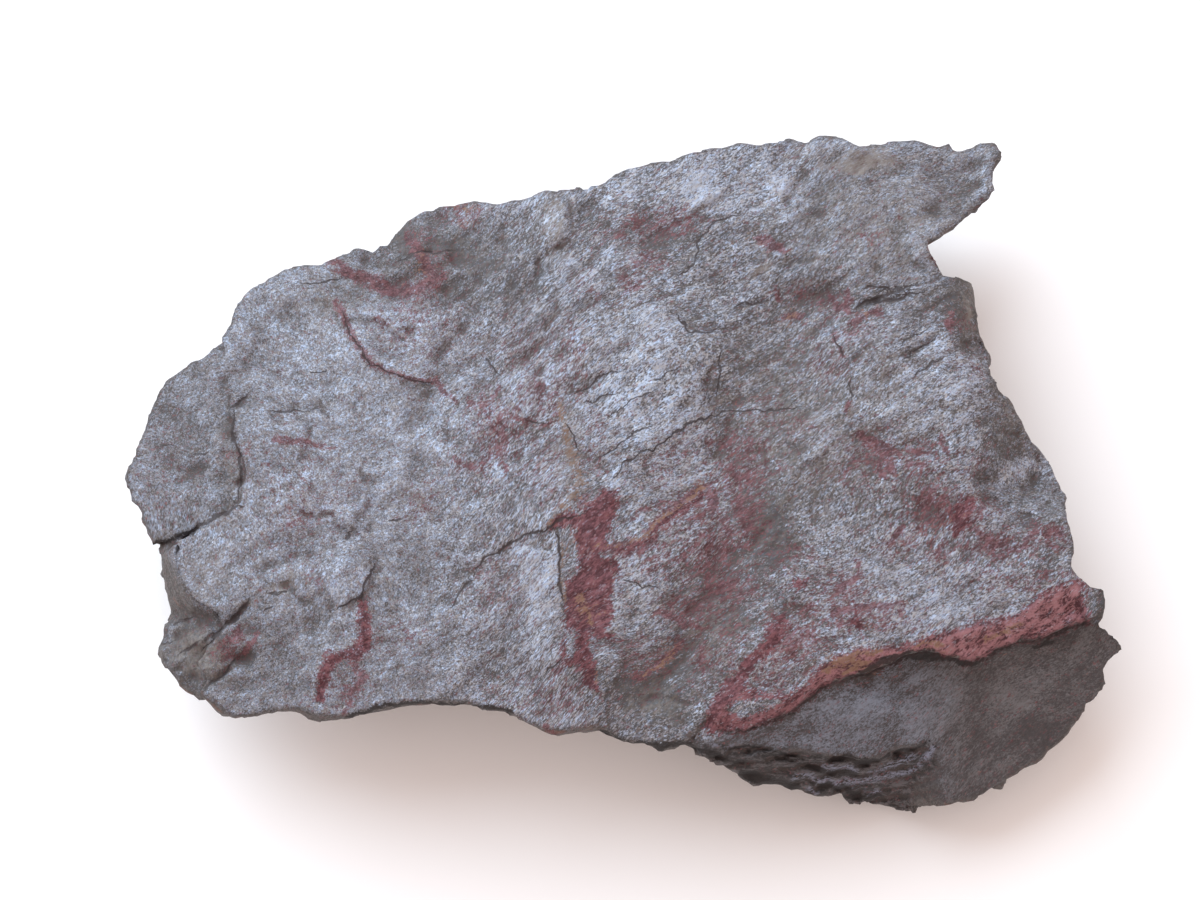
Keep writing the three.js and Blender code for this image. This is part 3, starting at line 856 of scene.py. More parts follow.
def upper_face(x, y):
    """The cleavage face: a dome with a fold, scaly flakes, streaks, and the broken right flank."""
    base = folded_dome(x, y)
    px, py = to_picture(x, y, base)
    across = grain_across(x, y)
    bend_x = 0.35 * layered_noise(x / 5, y / 5, octaves=2, seed=35)
    bend_y = 0.35 * layered_noise(x / 5, y / 5, octaves=2, seed=37)
    swell = 0.55 * layered_noise(x / 17, y / 17, octaves=2, seed=21)
    lumps = 0.38 * layered_noise(x / 5.0, y / 5.0, octaves=3, gain=0.45, seed=31)
    broad = 0.29 * chips(x / 12 + bend_x, across / 7 + bend_y, 41)
    small = 0.08 * chips(x / 4.2 + bend_y, across / 2.2 + bend_x, 43)
    coarse = 0.10 * streaks(x, y, 0.95, 6, 51)
    fine = 0.06 * streaks(x, y, 0.55, 5, 52)
    streak_share = 0.5 + 0.5 * smooth(*STREAKS_DEEPEN, px)
    face = base + swell + lumps + broad + small + (coarse + fine) * streak_share
    face += oval(px, py, *LUMPY_BACK) * 0.45 * layered_noise(x / 3.4, y / 3.4, octaves=3, seed=55)
    near = wandering(x, y, px, py, 2.4, 1.4, 191)
    far = wandering(x, y, px, py, 5.0, 6.0, 201)
    face += step_relief(*near) + crease_relief(*near) + lump_relief(*far) + bevel_relief(x, y, px, py)
    face += rim_relief(x, y, px, py) + crimp_relief(x, y, px, py) + chamfer_relief(x, y, px, py)
    rough = layered_noise(x / 6, y / 6, seed=61)
    broken = flank_plane(x, y) + 0.8 * rough + 0.6 * chips(x / 4.5 + bend_x, y / 3.2 + bend_y, 62)
    broken += lump_relief(*far)
    return smooth_min(face, broken, 0.8)


def leaf_face(x, y):
    """The dark leaf under the ledge: smooth, with a soft ridge."""
    height = leaf_plane(x, y)
    px, py = to_picture(x, y, height)
    ridge = 0.6 * bell(line_gap(LEAF_RIDGE, px, py), 2.2)
    swell = 0.55 * layered_noise(x / 13, y / 13, octaves=2, seed=71)
    small = 0.14 * layered_noise(x / 3, y / 3, octaves=3, seed=72)
    hollow = 1.6 * oval(px, py, *UNDER_LIP)
    hollow += 1.1 * smooth(*LIP_HOLLOW_GROWS, px) * bell(line_gap(LEDGE, px, py), 3.2)
    return height - hollow + ridge + swell + small + 0.14 * chips(x / 5, y / 3, 73)


def foot_face(x, y, leaf):
    """The layered front under the leaf: it steps down to the foot and meets the leaf on the right."""
    rough = layered_noise(x / 9, y / 3.5, gain=0.55, seed=74)
    front = terrace(foot_plane(x, y) + 1.3 * rough, 2.4, 2.4)
    front += 0.30 * layered_noise(x / 3.5, y / 1.8, octaves=3, seed=75)
    front -= 0.75 * line_cover(CREVICE_AND_SHADOW_LINES, *to_picture(x, y, front))
    px, _ = to_picture(x, y, leaf)
    return mixed(leaf, np.minimum(leaf, front), smooth(*FOOT_FADES, px))


def flake_face(x, y):
    base = folded_dome(x, y)
    swell = 0.5 * layered_noise(x / 8, y / 8, octaves=3, seed=81)
    flat = 0.22 * chips(x / 6, y / 4, 83) + 0.10 * chips(x / 2.4, y / 1.6, 84)
    fall = np.maximum(0, FLAKE_BEND_X - x) * FLAKE_FALL
    lumps = lump_relief(*to_picture(x, y, base))
    return base - FLAKE_DROP - fall + swell + flat + lumps + 0.06 * streaks(x, y, 0.8, 5, 82)


def corner_face(x, y):
    """The broken corner: a steep smooth band beside the plate, and a rough tip below it."""
    base = folded_dome(x, y)
    px, py = to_picture(x, y, base - CORNER_DROP)
    gap = line_gap(CORNER_JOINT, px, py)
    rough = layered_noise(x / 4.5, y / 4.5, seed=91)
    tip = base - CORNER_DROP - 0.45 * gap + 0.9 * rough + 0.6 * chips(x / 3.6, y / 2.6, 95)
    band = base - 0.6 - 1.7 * gap + 0.25 * rough
    return mixed(tip, band, smooth(*CORNER_BAND_STARTS, py))


def underside(x, y):
    """Flat where it rests, and broken in steps where it rises to the overhanging edges."""
    slopes = [slope * (across * x + along * y - start) for slope, across, along, start in UNDERCUTS]
    rise = np.maximum(0, np.maximum.reduce(slopes))
    rough = layered_noise(x / 7, y / 7, gain=0.55, seed=101)
    broken = terrace(rise + 1.1 * rough, 2.1, 2.2)
    hollow = 0.5 * np.maximum(0, layered_noise(x / 18, y / 18, octaves=3, seed=102))
    share = smooth(0.2, 2.0, rise)
    highest = np.maximum(folded_dome(x, y) - EDGE_THICKNESS, 0)
    return np.clip(hollow * (1 - share) + broken * share, 0, highest)


def layering(x, y, z):
    """How far each thin layer stands out of a broken side, in mm."""
    level = bed_level(x, y, z) + 0.9 * noise(x / 11, y / 11, seed=111)
    total = 0
    for thickness, amount, spread, seed in LAYERS:
        sheet = terrace(level / thickness + 0.4 * noise(x / 7, y / 7, seed=seed), 1.0, 4.0)
        total = total + amount * noise(x / spread, y / spread, sheet * 1.7, seed=seed + 5)
    total += 0.5 * noise(x / 4.5, y / 4.5, z / 3.0, seed=133)
    rough = 0.25 * layered_noise(x / 1.8, y / 1.8, z / 1.2, octaves=2, seed=131)
    return np.minimum(total, 0.5) + rough


def bed(grid, outline, roof, serration):
    """Depth inside one bed of the slab, in mm, at each point of the grid."""
    x, y, z = grid
    roof = np.maximum(roof, THINNEST)
    px, py = to_picture(x, y, roof)
    inset = depth_inside(outline, px, py) * MM_PER_PX
    jagged = serration * layered_noise(x / 2.3, y / 2.3, octaves=3, gain=0.6, seed=141)
    near = np.abs(inset) < WALL_REACH
    wall = np.repeat(inset[:, :, None], len(z), axis=2).astype(np.float32)
    below = np.maximum(0, roof[:, :, None] - z)
    columns = [np.broadcast_to(c, wall.shape)[near] for c in (x[:, :, None], y[:, :, None], z)]
    fringe = np.broadcast_to(jagged[:, :, None], wall.shape)[near] * np.exp(-below[near] / 3)
    wall[near] += (fringe + layering(*columns) * smooth(0.0, 1.6, below[near])).astype(np.float32)
    wall -= OVERHANG * below
    return smooth_min(wall, (roof[:, :, None] - z).astype(np.float32), 0.3)


def stone_field():
    """The voxel grid of the stone, and the depth inside it at each point."""
    xs, ys, zs = [np.arange(low, high, VOXEL) for low, high in GRID]
    x, y = np.meshgrid(xs, ys, indexing="ij")
    upper = upper_face(x, y)
    leaf = np.minimum(upper - 1, leaf_face(x, y))
    joints = CORNER_JOINT[::-1] + FLAKE_JOINT[::-1]
    beds = [
        (joints + BACK_EDGE + RIGHT_EDGE + LEDGE + FRONT_EDGE, upper, 0.28),
        (BACK_EDGE[:1] + RIGHT_EDGE + LEAF_EDGE + LEAF_CREASE, leaf, 0.3),
        (RIGHT_EDGE[-1:] + LEAF_EDGE + FOOT_EDGE + FOOT_ROOT, foot_face(x, y, leaf), 0.45),
        (FLAKE_EDGE + FLAKE_ROOT, flake_face(x, y), 0.25),
        (CORNER_EDGE + CORNER_ROOT, corner_face(x, y), 0.3),
    ]
    field = bed((x, y, zs), *beds[0])
    for parts in beds[1:]:
        field = np.maximum(field, bed((x, y, zs), *parts))
    field = smooth_min(field, (zs - underside(x, y)[:, :, None]).astype(np.float32), 0.5)
    px, py = to_picture(x, y, upper)
    for first, last, depth, line in OPEN_CRACKS:
        gap, _, passed = line_offset(line, px, py)
        slot = gap * MM_PER_PX - mixed(first, last, passed)
        floor = upper - depth * (1 - 0.6 * passed)
        outside = np.maximum(slot[:, :, None], floor[:, :, None] - zs)
        field = np.minimum(field, outside.astype(np.float32))
    return (xs[0], ys[0], zs[0]), field


def surface_points(field, active):
    """One vertex in each voxel that the surface passes, amid the edges that it crosses there."""
    total = np.zeros((len(active), 3))
    crossings = np.zeros(len(active))
    for start in np.ndindex(2, 2, 2):
        for axis in range(3):
            if start[axis]:
                continue
            step = np.eye(3, dtype=int)[axis]
            a = field[tuple((active + start).T)]
            b = field[tuple((active + start + step).T)]
            crossed = (a > 0) != (b > 0)
            share = np.where(crossed, a / np.where(crossed, a - b, 1), 0)
            point = np.array(start) + share[:, None] * step
            total += np.where(crossed[:, None], point, 0)
            crossings += crossed
    return active + total / crossings[:, None]


def surface_quads(solid, number):
    """A quad across each edge of the grid that runs from inside to outside, facing outwards."""
    quads = []
    for axis in range(3):
        one, two = [(1, 2), (2, 0), (0, 1)][axis]
        u, v = np.eye(3, dtype=int)[[one, two]]
        here = np.argwhere(np.diff(solid.astype(np.int8), axis=axis) != 0)
        here = here[(here[:, one] > 0) & (here[:, two] > 0)]
        ring = [number[tuple((here - shift).T)] for shift in (u + v, v, 0 * u, u)]
        ring = np.stack(ring, axis=1)
        outward = solid[tuple(here.T)]
        ring[~outward] = ring[~outward][:, ::-1]
        quads.append(ring)
    return np.concatenate(quads)


def surface_of(origin, field):
    """Vertices and quads of the surface where the field is zero."""
    solid = field > 0
    cells = tuple(n - 1 for n in field.shape)
    count = np.zeros(cells, np.int8)
    for i, j, k in np.ndindex(2, 2, 2):
        count += solid[i:cells[0] + i, j:cells[1] + j, k:cells[2] + k]
    active = np.argwhere((count > 0) & (count < 8))
    number = np.full(cells, -1, np.int64)
    number[tuple(active.T)] = np.arange(len(active))
    vertices = surface_points(field, active) * VOXEL + np.array(origin)
    return vertices, surface_quads(solid, number)


def main_part(vertices, quads):
    """The largest connected body, so that no crumb floats beside the stone."""
    label = np.arange(len(vertices))
    ends = np.concatenate([quads[:, [i, i + 1]] for i in range(3)])
    while True:
        low = np.minimum(label[ends[:, 0]], label[ends[:, 1]])
        new = label.copy()
        np.minimum.at(new, label[ends[:, 0]], low)
        np.minimum.at(new, label[ends[:, 1]], low)
        new = new[new]
        if np.array_equal(new, label):
            break
        label = new
    kept = label == np.bincount(label).argmax()
    number = np.cumsum(kept) - 1
    return vertices[kept], number[quads[kept[quads[:, 0]]]]


def mesh_from(vertices, quads):
    mesh = bpy.data.meshes.new("schist")
    mesh.vertices.add(len(vertices))
    mesh.vertices.foreach_set("co", (vertices * MM).astype(np.float32).ravel())
    mesh.loops.add(quads.size)
    mesh.loops.foreach_set("vertex_index", quads.astype(np.int32).ravel())
    mesh.polygons.add(len(quads))
    mesh.polygons.foreach_set("loop_start", np.arange(0, quads.size, 4, dtype=np.int32))
    mesh.update(calc_edges=True)
    mesh.validate()
    return mesh


def numbers(items, name, width):
    """A property of mesh items as an array with a row for each item."""
    values = np.empty(len(items) * width, np.int32 if name == "vertices" else np.float32)
    items.foreach_get(name, values)
    return values.reshape(-1, width)


def added(name, data):
    """A new object in the scene."""
    piece = bpy.data.objects.new(name, data)
    bpy.context.scene.collection.objects.link(piece)
    return piece


def thinned(mesh):
    """The mesh under its limit of triangles, with more of them kept above than below."""
    rough = added("rough", mesh)
    normals = numbers(mesh.vertex_normals, "vector", 3)
    group = rough.vertex_groups.new(name="may_thin")
    for low, high, weight in THINNING:
        chosen = np.nonzero((normals[:, 2] > low) & (normals[:, 2] <= high))[0]
        group.add(chosen.tolist(), weight, "REPLACE")
    thin = rough.modifiers.new("thin", "DECIMATE")
    thin.ratio = min(1.0, MOST_TRIANGLES / (2 * len(mesh.polygons)))
    thin.vertex_group = group.name
    thin.vertex_group_factor = 1.0
    thin.use_collapse_triangulate = True
    ready = rough.evaluated_get(bpy.context.evaluated_depsgraph_get())
    kept = bpy.data.meshes.new_from_object(ready)
    points = numbers(kept.vertices, "co", 3)
    points[:, 2] = np.maximum(points[:, 2], 0)
    kept.vertices.foreach_set("co", points.ravel())
    bpy.data.objects.remove(rough)
    bpy.data.meshes.remove(mesh)
    return kept


def averaged(mesh, vectors, rounds):
    """A vector for each point, averaged with the neighbours' vectors again and again."""
    edges = numbers(mesh.edges, "vertices", 2)
    ends = np.concatenate([edges, edges[:, ::-1]])
    count = np.bincount(ends[:, 0], minlength=len(vectors))[:, None] + 1
    for _ in range(rounds):
        around = [np.bincount(ends[:, 0], vectors[ends[:, 1], axis], len(vectors)) for axis in range(3)]
        vectors = (vectors + np.stack(around, axis=1)) / count
    return vectors


def rust_depth(px, py):
    """How deep inside the rust marks a point lies, in mm, under 0 outside."""
    depth = np.full(px.shape, -RUST_FAR)
    for outline in RUST_PATCHES:
        depth = np.maximum(depth, depth_inside(outline, px, py) * MM_PER_PX)
    band = depth_inside(BEVEL_TOP[2:] + LEDGE[:-1], px, py) * MM_PER_PX
    depth = np.maximum(depth, 0.7 * band + 0.4)
    for hole in RUST_HOLES:
        depth = np.minimum(depth, -depth_inside(hole, px, py) * MM_PER_PX)
    return np.clip(depth, -RUST_FAR, RUST_DEEP)


def spread_of(spots, px, py):
    """The strongest of some soft ovals at each point."""
    total = np.zeros(px.shape)
    for mx, my, wide, high, strength in spots:
        total = np.maximum(total, strength * oval(px, py, (mx, my), (wide, high), power=2))
    return total


# Painted sheen and painted shade: the summed changes of brightness of the ovals
def painted_sheen_and_shade_sum(px, py):
    total = np.zeros(px.shape)
    for mx, my, wide, high, turn, change in PAINTED_SHEEN_AND_SHADE:
        total += change * oval(px, py, (mx, my), (wide, high), turn, 2)
    return total


def crack_marks(px, py, seen):
    """Signed distance in mm to the nearest hairline crack, and that crack's width beside it."""
    nearest = np.full(px.shape, 1e9)
    signed = np.full(px.shape, 9.0)
    width = np.zeros(px.shape)
    cracked = [(size, line) for _, _, size, line in STEPS + CREASES if size]
    for size, line in HAIRLINES + cracked:
        gap, side, passed = line_offset(line, px, py)
        gap = gap * MM_PER_PX
        nearer = gap < nearest
        beside = size * (0.3 + 0.55 * tapered(passed, 0, 0.2)) * smooth(1.3, 0.7, gap)
        nearest = np.where(nearer, gap, nearest)
        signed = np.where(nearer, gap * side, signed)
        width = np.where(nearer, beside, width)
    return {"crack": np.clip(signed, -3, 3), "crack_width": seen * width}


def rust_marks(near, soft, seen):
    """Rust, yellow rust and tan weathering, and the rough red lip."""
    specks = np.maximum(spread_of(RUST_SPECKS, *soft), 0.9 * line_cover(RUST_LINES, *near))
    ochre = np.maximum(spread_of(OCHRE_SPOTS, *soft), 0.9 * line_cover(OCHRE_LINES, *near))
    on_lip = smooth(-3, 5, depth_inside(BEVEL_TOP + LEDGE, *near))
    return {
        "rust": np.where(seen > 0.5, rust_depth(*near), -RUST_FAR),
        "specks": seen * specks,
        "ochre": seen * ochre,
        "tan": seen * spread_of(TAN_SPOTS, *soft),
        "lip": on_lip * (0.3 + 0.7 * smooth(*LIP_REDDENS, near[0])),
    }


def shine_marks(near, soft, seen, steep, flank):
    """Painted sheen and shade of the mica, how much its tone varies, and how much it is streaked."""
    contrast = 0.74 + 0.42 * smooth(*CONTRAST_GROWS, soft[0])
    contrast -= 0.28 * smooth(*BACK_RIGHT_X, soft[0]) * smooth(*BACK_RIGHT_Y, soft[1]) + 0.15 * flank
    by_lip = smooth(*LIP_RIGHT_X, near[0]) * smooth(*LIP_RIGHT_Y, near[1])
    return {
        # Painted shade also darkens the steep faces and the right flank
        "sheen": seen * (painted_sheen_and_shade_sum(*soft) - 0.10 * flank - steep * (0.35 - 0.2 * flank)),
        "contrast": contrast,
        "combed": (0.3 + 0.35 * smooth(*STREAKS_SHARPEN, near[0])) * (1 - 0.85 * by_lip),
    }


def front_marks(x, y, z, near, seen, up):
    """The dark leaf with painted shadow under the lip; the front with black crevices and painted
    glints.
    """
    leaf = smooth(-2, 2, depth_inside(LEDGE + FOOT_EDGE[::-1] + LEAF_EDGE[::-1], *near))
    leaf = leaf * smooth(0.8, 1.6, folded_dome(x, y) - z)
    front = smooth(-3, 2, depth_inside(FRONT_FACE, *near))
    shadow = 0.8 * smooth(1.1, 0.1, line_gap(LEDGE, *near)) * leaf
    return {
        "leaf": leaf * smooth(-0.3, 0.1, up),
        "painted_crevice_shadow": seen * np.maximum(shadow, line_cover(CREVICE_AND_SHADOW_LINES, *near)),
        "front": front,
        "lamina": line_gap(LEAF_CREASE, *near),
        "painted_glint": front * line_cover(PAINTED_FRONT_GLINTS, *near),
    }


def relief_marks(mesh, points, normals):
    """How far each point lies below its near and its wider surroundings, in mm."""
    marks = {}
    # The material darkens hollows and basins by these, as painted shade
    for name, rounds, low, high in (("hollow", 6, -0.05, 0.4), ("basin", 40, -0.15, 0.8)):
        depth = ((averaged(mesh, points, rounds) - points) * normals).sum(axis=1)
        marks[name] = np.clip(depth, low, high)
    return marks


def mark_stone(mesh):
    """Stores what the material reads at each point of the mesh."""
    points = numbers(mesh.vertices, "co", 3).astype(np.float64) / MM
    normals = numbers(mesh.vertex_normals, "vector", 3)
    x, y, z = points.T
    up = normals[:, 2]
    pixel = to_picture(x, y, z)
    near = wandering(x, y, *pixel, 1.4, 2.2, 181)
    soft = wandering(x, y, *pixel, 4.0, 8.0, 211)
    broad = averaged(mesh, normals.astype(np.float64), 8)
    broad_up = np.abs(broad[:, 2]) / np.linalg.norm(broad, axis=1)
    steep = 1 - smooth(0.6, 0.97, broad_up)
    gap, crease_side, _ = line_offset(RIGHT_CREASE, *soft)
    flank = smooth(-2, 4, -crease_side * gap) * smooth(0.15, 0.5, up)
    flank *= smooth(*FLANK_STARTS, pixel[1]) * smooth(*FLANK_ENDS, pixel[1])
    seen = smooth(-0.3, 0.05, up) * smooth(3, 8, z)
    marks = {
        "along": x - 2.4 * np.logaddexp(0, (-16 - x) / 4),
        "across": grain_across(x, y),
        "level": bed_level(x, y, z),
        "below": smooth(-0.1, -0.5, up),
        "side": (1 - smooth(0.45, 0.82, broad_up)) * (1 - 0.7 * flank),
        **crack_marks(*near, seen),
        **rust_marks(near, soft, seen),
        **shine_marks(near, soft, seen, steep, flank),
        **front_marks(x, y, z, near, seen, up),
        **relief_marks(mesh, points, normals),
    }
    for name, values in marks.items():
        mesh.attributes.new(name, "FLOAT", "POINT").data.foreach_set("value", values.astype(np.float32))


def add_stone():
    mesh = thinned(mesh_from(*main_part(*surface_of(*stone_field()))))
    mesh.shade_smooth()
    mark_stone(mesh)
    mesh.materials.append(schist())
    return added("schist_stone", mesh)


class Nodes:
    """Short ways to add and link the nodes of a material."""

    def __init__(self, name):
        self.material = bpy.data.materials.new(name)
        self.material.use_nodes = True
        self.tree = self.material.node_tree
        self.shader = self.tree.nodes["Principled BSDF"]

    def fill(self, node, sockets):
        for name, value in sockets.items():
            if isinstance(value, bpy.types.NodeSocket):
                self.tree.links.new(value, node.inputs[name])
            else:
                node.inputs[name].default_value = value

    def add(self, kind, sockets, **settings):
        node = self.tree.nodes.new("ShaderNode" + kind)
        for name, value in settings.items():
            setattr(node, name, value)
        self.fill(node, sockets)
        return node

    def mark(self, name):
        return self.add("Attribute", {}, attribute_name=name).outputs["Fac"]

    def math(self, operation, a, b=0.0, c=0.0):
        return self.add("Math", {0: a, 1: b, 2: c}, operation=operation).outputs[0]

    def times(self, a, b):
        return self.math("MULTIPLY", a, b)

    def rest(self, share):
        return self.math("SUBTRACT", 1.0, share)

    def centred(self, value):
        """A texture around 0 instead of around a half."""
        return self.math("SUBTRACT", value, 0.5)

    def total(self, *terms):
        """The sum of terms, each a value or a (value, factor) pair."""
        result = 0.0
        for term in terms:
            value, factor = term if isinstance(term, tuple) else (term, 1.0)
            result = self.math("MULTIPLY_ADD", value, factor, result)
        return result

    def span(self, value, low, high):
        sockets = {"Value": value, "From Min": low, "From Max": high}
        return self.add("MapRange", sockets, interpolation_type="SMOOTHSTEP").outputs["Result"]

    def blend(self, share, a, b):
        a, b = [(*c, 1.0) if isinstance(c, tuple) else c for c in (a, b)]
        return self.add("Mix", {0: share, 6: a, 7: b}, data_type="RGBA").outputs[2]

    def number_between(self, share, a, b):
        return self.add("Mix", {0: share, 2: a, 3: b}).outputs[0]

    def vector_math(self, operation, sockets):
        return self.add("VectorMath", sockets, operation=operation).outputs[0]

    def vector(self, x, y, z):
        return self.add("CombineXYZ", {0: x, 1: y, 2: z}).outputs[0]

    def scaled(self, place, sizes):
        """The place in units of the given sizes."""
        return self.vector_math("MULTIPLY", {0: place, 1: tuple(1 / s for s in sizes)})

    def cloud(self, place, sizes, detail=4.0, rough=0.65):
        place = self.scaled(place, sizes)
        sockets = {"Vector": place, "Scale": 1.0, "Detail": detail, "Roughness": rough}
        return self.add("TexNoise", sockets).outputs[0]

    def flakes(self, place, sizes):
        """Two random numbers and a random direction for each of the cells that fill space."""
        cells = self.add("TexVoronoi", {"Vector": self.scaled(place, sizes), "Scale": 1.0})
        parts = self.add("SeparateColor", {0: cells.outputs["Color"]})
        return parts.outputs[0], parts.outputs[1], cells.outputs["Color"]


def shared_textures(n):
    """The marks and textures that several layers of the material share. The sizes are in mm along the
    streaks, across them, and through the beds."""
    names = ("along", "level", "below", "side", "hollow", "sheen", "ochre", "tan")
    t = SimpleNamespace(**{name: n.mark(name) for name in names})
    t.grain = n.vector(t.along, n.mark("across"), t.level)
    t.bright, t.chosen, t.tilt = n.flakes(t.grain, (0.80, 0.36, 0.40))
    t.bright_small, t.chosen_small, _ = n.flakes(t.grain, (0.31, 0.21, 0.23))
    t.mottled = n.cloud(t.grain, (0.85, 0.62, 0.7), detail=3.0)
    t.patch = n.cloud(t.grain, (4.4, 2.6, 4.0), rough=0.55)
    t.grit = n.cloud(t.grain, (0.26, 0.20, 0.22), detail=1.0, rough=0.55)
    t.ragged = n.cloud(t.grain, (1.5, 0.9, 0.9))
    t.crumbs = n.cloud(t.grain, (0.7, 0.7, 0.5))
    t.layers = n.cloud(t.grain, (5.0, 5.0, 0.42), detail=3.0, rough=0.6)
    t.fine = n.cloud(t.grain, (0.42, 0.30, 0.30), detail=2.0, rough=0.6)
    t.blotch = n.cloud(t.grain, (1.8, 1.0, 1.0))
    combed = n.cloud(t.grain, (3.0, 0.45, 1.0), detail=3.0)
    t.streak = n.number_between(n.mark("combed"), t.mottled, combed)
    return t


def mica_light(n, t):
    """How bright each spot of the cleavage face is, with painted glints, sheen and shade."""
    texture = n.total(
        (n.centred(t.bright), 0.26), (n.centred(t.bright_small), 0.78), (n.centred(t.streak), 0.80),
        (n.centred(t.patch), 0.95), (n.centred(t.grit), 1.5), (n.centred(t.ragged), -0.50),
    )
    # Painted shade: darker in hollows, in basins and on faces turned downwards
    return n.total(
        0.47, (texture, n.mark("contrast")), (t.hollow, -0.9), (n.mark("basin"), -0.45), t.sheen,
        (t.below, -0.15),
    )


def mica_colour(n, t, light):
    """Flakes of mica, tinted a little, with warm patches; the brightest are painted bluish reflections.
    """
    mica = n.blend(n.span(light, 0.02, 0.56), MICA_DARK, MICA_GREY)
    mica = n.blend(n.span(light, 0.48, 1.05), mica, MICA_BRIGHT)
    for chosen, tint in ((t.chosen, WARM_TINT), (t.chosen_small, WARM_SMALL_TINT)):
        mica = n.vector_math("MULTIPLY", {0: mica, 1: n.blend(chosen, tint, COOL_TINT)})
    warm = n.span(n.cloud(t.grain, (2.2, 1.3, 1.5)), 0.50, 0.72)
    return n.blend(n.times(warm, n.total(0.28, (t.tan, 0.6))), mica, MICA_WARM)


def leaf_colour(n, t):
    """The smooth leaf, dark in its own colour and as painted shade, bluer at its left."""
    # Painted shade in the hollows, and the painted sheen and shade
    light = n.total(
        (t.patch, 1.1), (t.mottled, 0.7), (t.bright_small, 0.45), t.grit, (t.hollow, -1.0), t.sheen,
    )
    pale = n.blend(n.span(t.along, 38.0, 54.0), LEAF_BLUE, LEAF_GREY)
    return n.blend(n.span(light, 1.25, 2.05), LEAF_DARK, pale)


def side_colour(n, t):
    """Broken sides, with the edges of thin layers, brown stains, and painted shade in hollows."""
    light = n.total((t.layers, 0.75), (t.crumbs, 0.55), (t.bright_small, 0.22), (t.hollow, -0.5))
    colour = n.blend(n.span(light, 0.50, 1.05), SIDE_DARK, SIDE_GREY)
    stain = n.span(n.cloud(t.grain, (9.0, 9.0, 1.6), rough=0.6), 0.58, 0.68)
    return n.blend(n.times(stain, 0.55), colour, SIDE_STAIN)


def front_colour(n, t):
    """The layered front under the leaf, nearly black, with painted shade and a few painted glints."""
    lamina = n.vector(t.along, n.mark("lamina"), t.level)
    thin = n.cloud(lamina, (4.0, 0.55, 1.4), detail=3.0)
    # Painted shade in the hollows
    light = n.total((thin, 2.4), (t.patch, 1.6), (t.bright_small, 0.45), (t.hollow, -1.6))
    colour = n.blend(n.span(light, 2.00, 2.75), FRONT_DARK, FRONT_GREY)
    # Painted glints on a few shining edges
    broken = n.span(n.total((thin, 3.0), t.bright_small), 1.60, 2.30)
    return n.blend(n.times(n.mark("painted_glint"), broken), colour, PAINTED_FRONT_GLINT)


def red_colour(n, t):
    """Rust: dark to brick red in blotches, rosy on the lip, yellow in places; painted shade in hollows.
    """
    tint = n.total(
        (t.blotch, 2.2), (t.fine, 0.7), (t.bright_small, 0.40), (t.grit, 0.4), (t.hollow, -0.5),
    )
    red = n.blend(n.span(tint, 1.45, 2.30), RUST_DARK, RUST_RED)
    tint = n.total((t.blotch, 2.6), (t.fine, 0.9), (t.bright_small, 0.35), (t.hollow, -1.2))
    rosy = n.times(n.mark("lip"), n.span(tint, 1.58, 2.20))
    red = n.blend(n.times(rosy, 0.9), red, RUST_ROSY)
    yellow = n.total(t.ochre, (n.centred(t.blotch), 2.4), (n.centred(t.fine), 1.6))
    yellow = n.times(n.span(yellow, 0.40, 1.00), 0.85)
    return n.blend(yellow, red, n.blend(t.bright_small, OCHRE_DARK, OCHRE_PALE))


def rusted(n, t, colour):
    """Patches of rust with ragged edges, loose specks in a faint haze, and streaks of yellow. Gives
    the colour, and how much of the stone the rust covers."""
    edge = n.total(n.mark("rust"), (n.centred(t.ragged), 2.2), (n.centred(t.fine), 2.6))
    loose = n.total(
        n.mark("specks"), (n.centred(t.ragged), 1.9), (n.centred(t.fine), 2.3), (t.hollow, 0.5),
    )
    colour = n.blend(n.times(n.span(loose, 0.0, 0.5), 0.25), colour, RUST_HAZE)
    cover = n.math("MAXIMUM", n.span(edge, -0.30, 0.45), n.times(n.span(loose, 0.30, 0.66), 0.78))
    glimpse = n.span(n.total((t.bright, 0.5), (t.bright_small, 0.5)), 0.66, 1.0)
    opaque = n.math("SUBTRACT", 0.97, n.times(glimpse, 0.40))
    colour = n.blend(n.times(cover, opaque), colour, red_colour(n, t))
    streaky = n.total(t.ochre, (n.centred(t.fine), 2.4), (n.centred(t.blotch), 1.6))
    return n.blend(n.times(n.span(streaky, 0.40, 1.00), 0.65), colour, OCHRE_HAZE), cover


def crack_share(n, t):
    """1 in the hairline cracks."""
    width = n.mark("crack_width")
    gap = n.math("ABSOLUTE", n.total(n.mark("crack"), (n.centred(t.fine), 0.25)))
    inside = n.rest(n.span(n.math("DIVIDE", gap, n.math("ADD", width, 0.001)), 0.35, 1.0))
    return n.times(inside, n.span(width, 0.02, 0.12))


def facing(n, t, crack, cover):
    """The direction of the surface, with its finest relief and with each flake turned a little."""
    height = n.total(
        (t.streak, 0.06), (t.bright, 0.03), (t.bright_small, 0.03), (t.grit, 0.05), (t.ragged, -0.05),
        (t.crumbs, 0.06), (n.times(t.layers, t.side), 0.30), (crack, -0.12), (cover, 0.02),
    )
    relief = n.add("Bump", {"Strength": 0.75, "Distance": 0.001, "Height": height}).outputs[0]
    turned = n.vector_math("SUBTRACT", {0: t.tilt, 1: (0.5, 0.5, 0.5)})
    turned = n.vector_math("SCALE", {0: turned, "Scale": 0.30})
    return n.vector_math("NORMALIZE", {0: n.vector_math("ADD", {0: relief, 1: turned})})


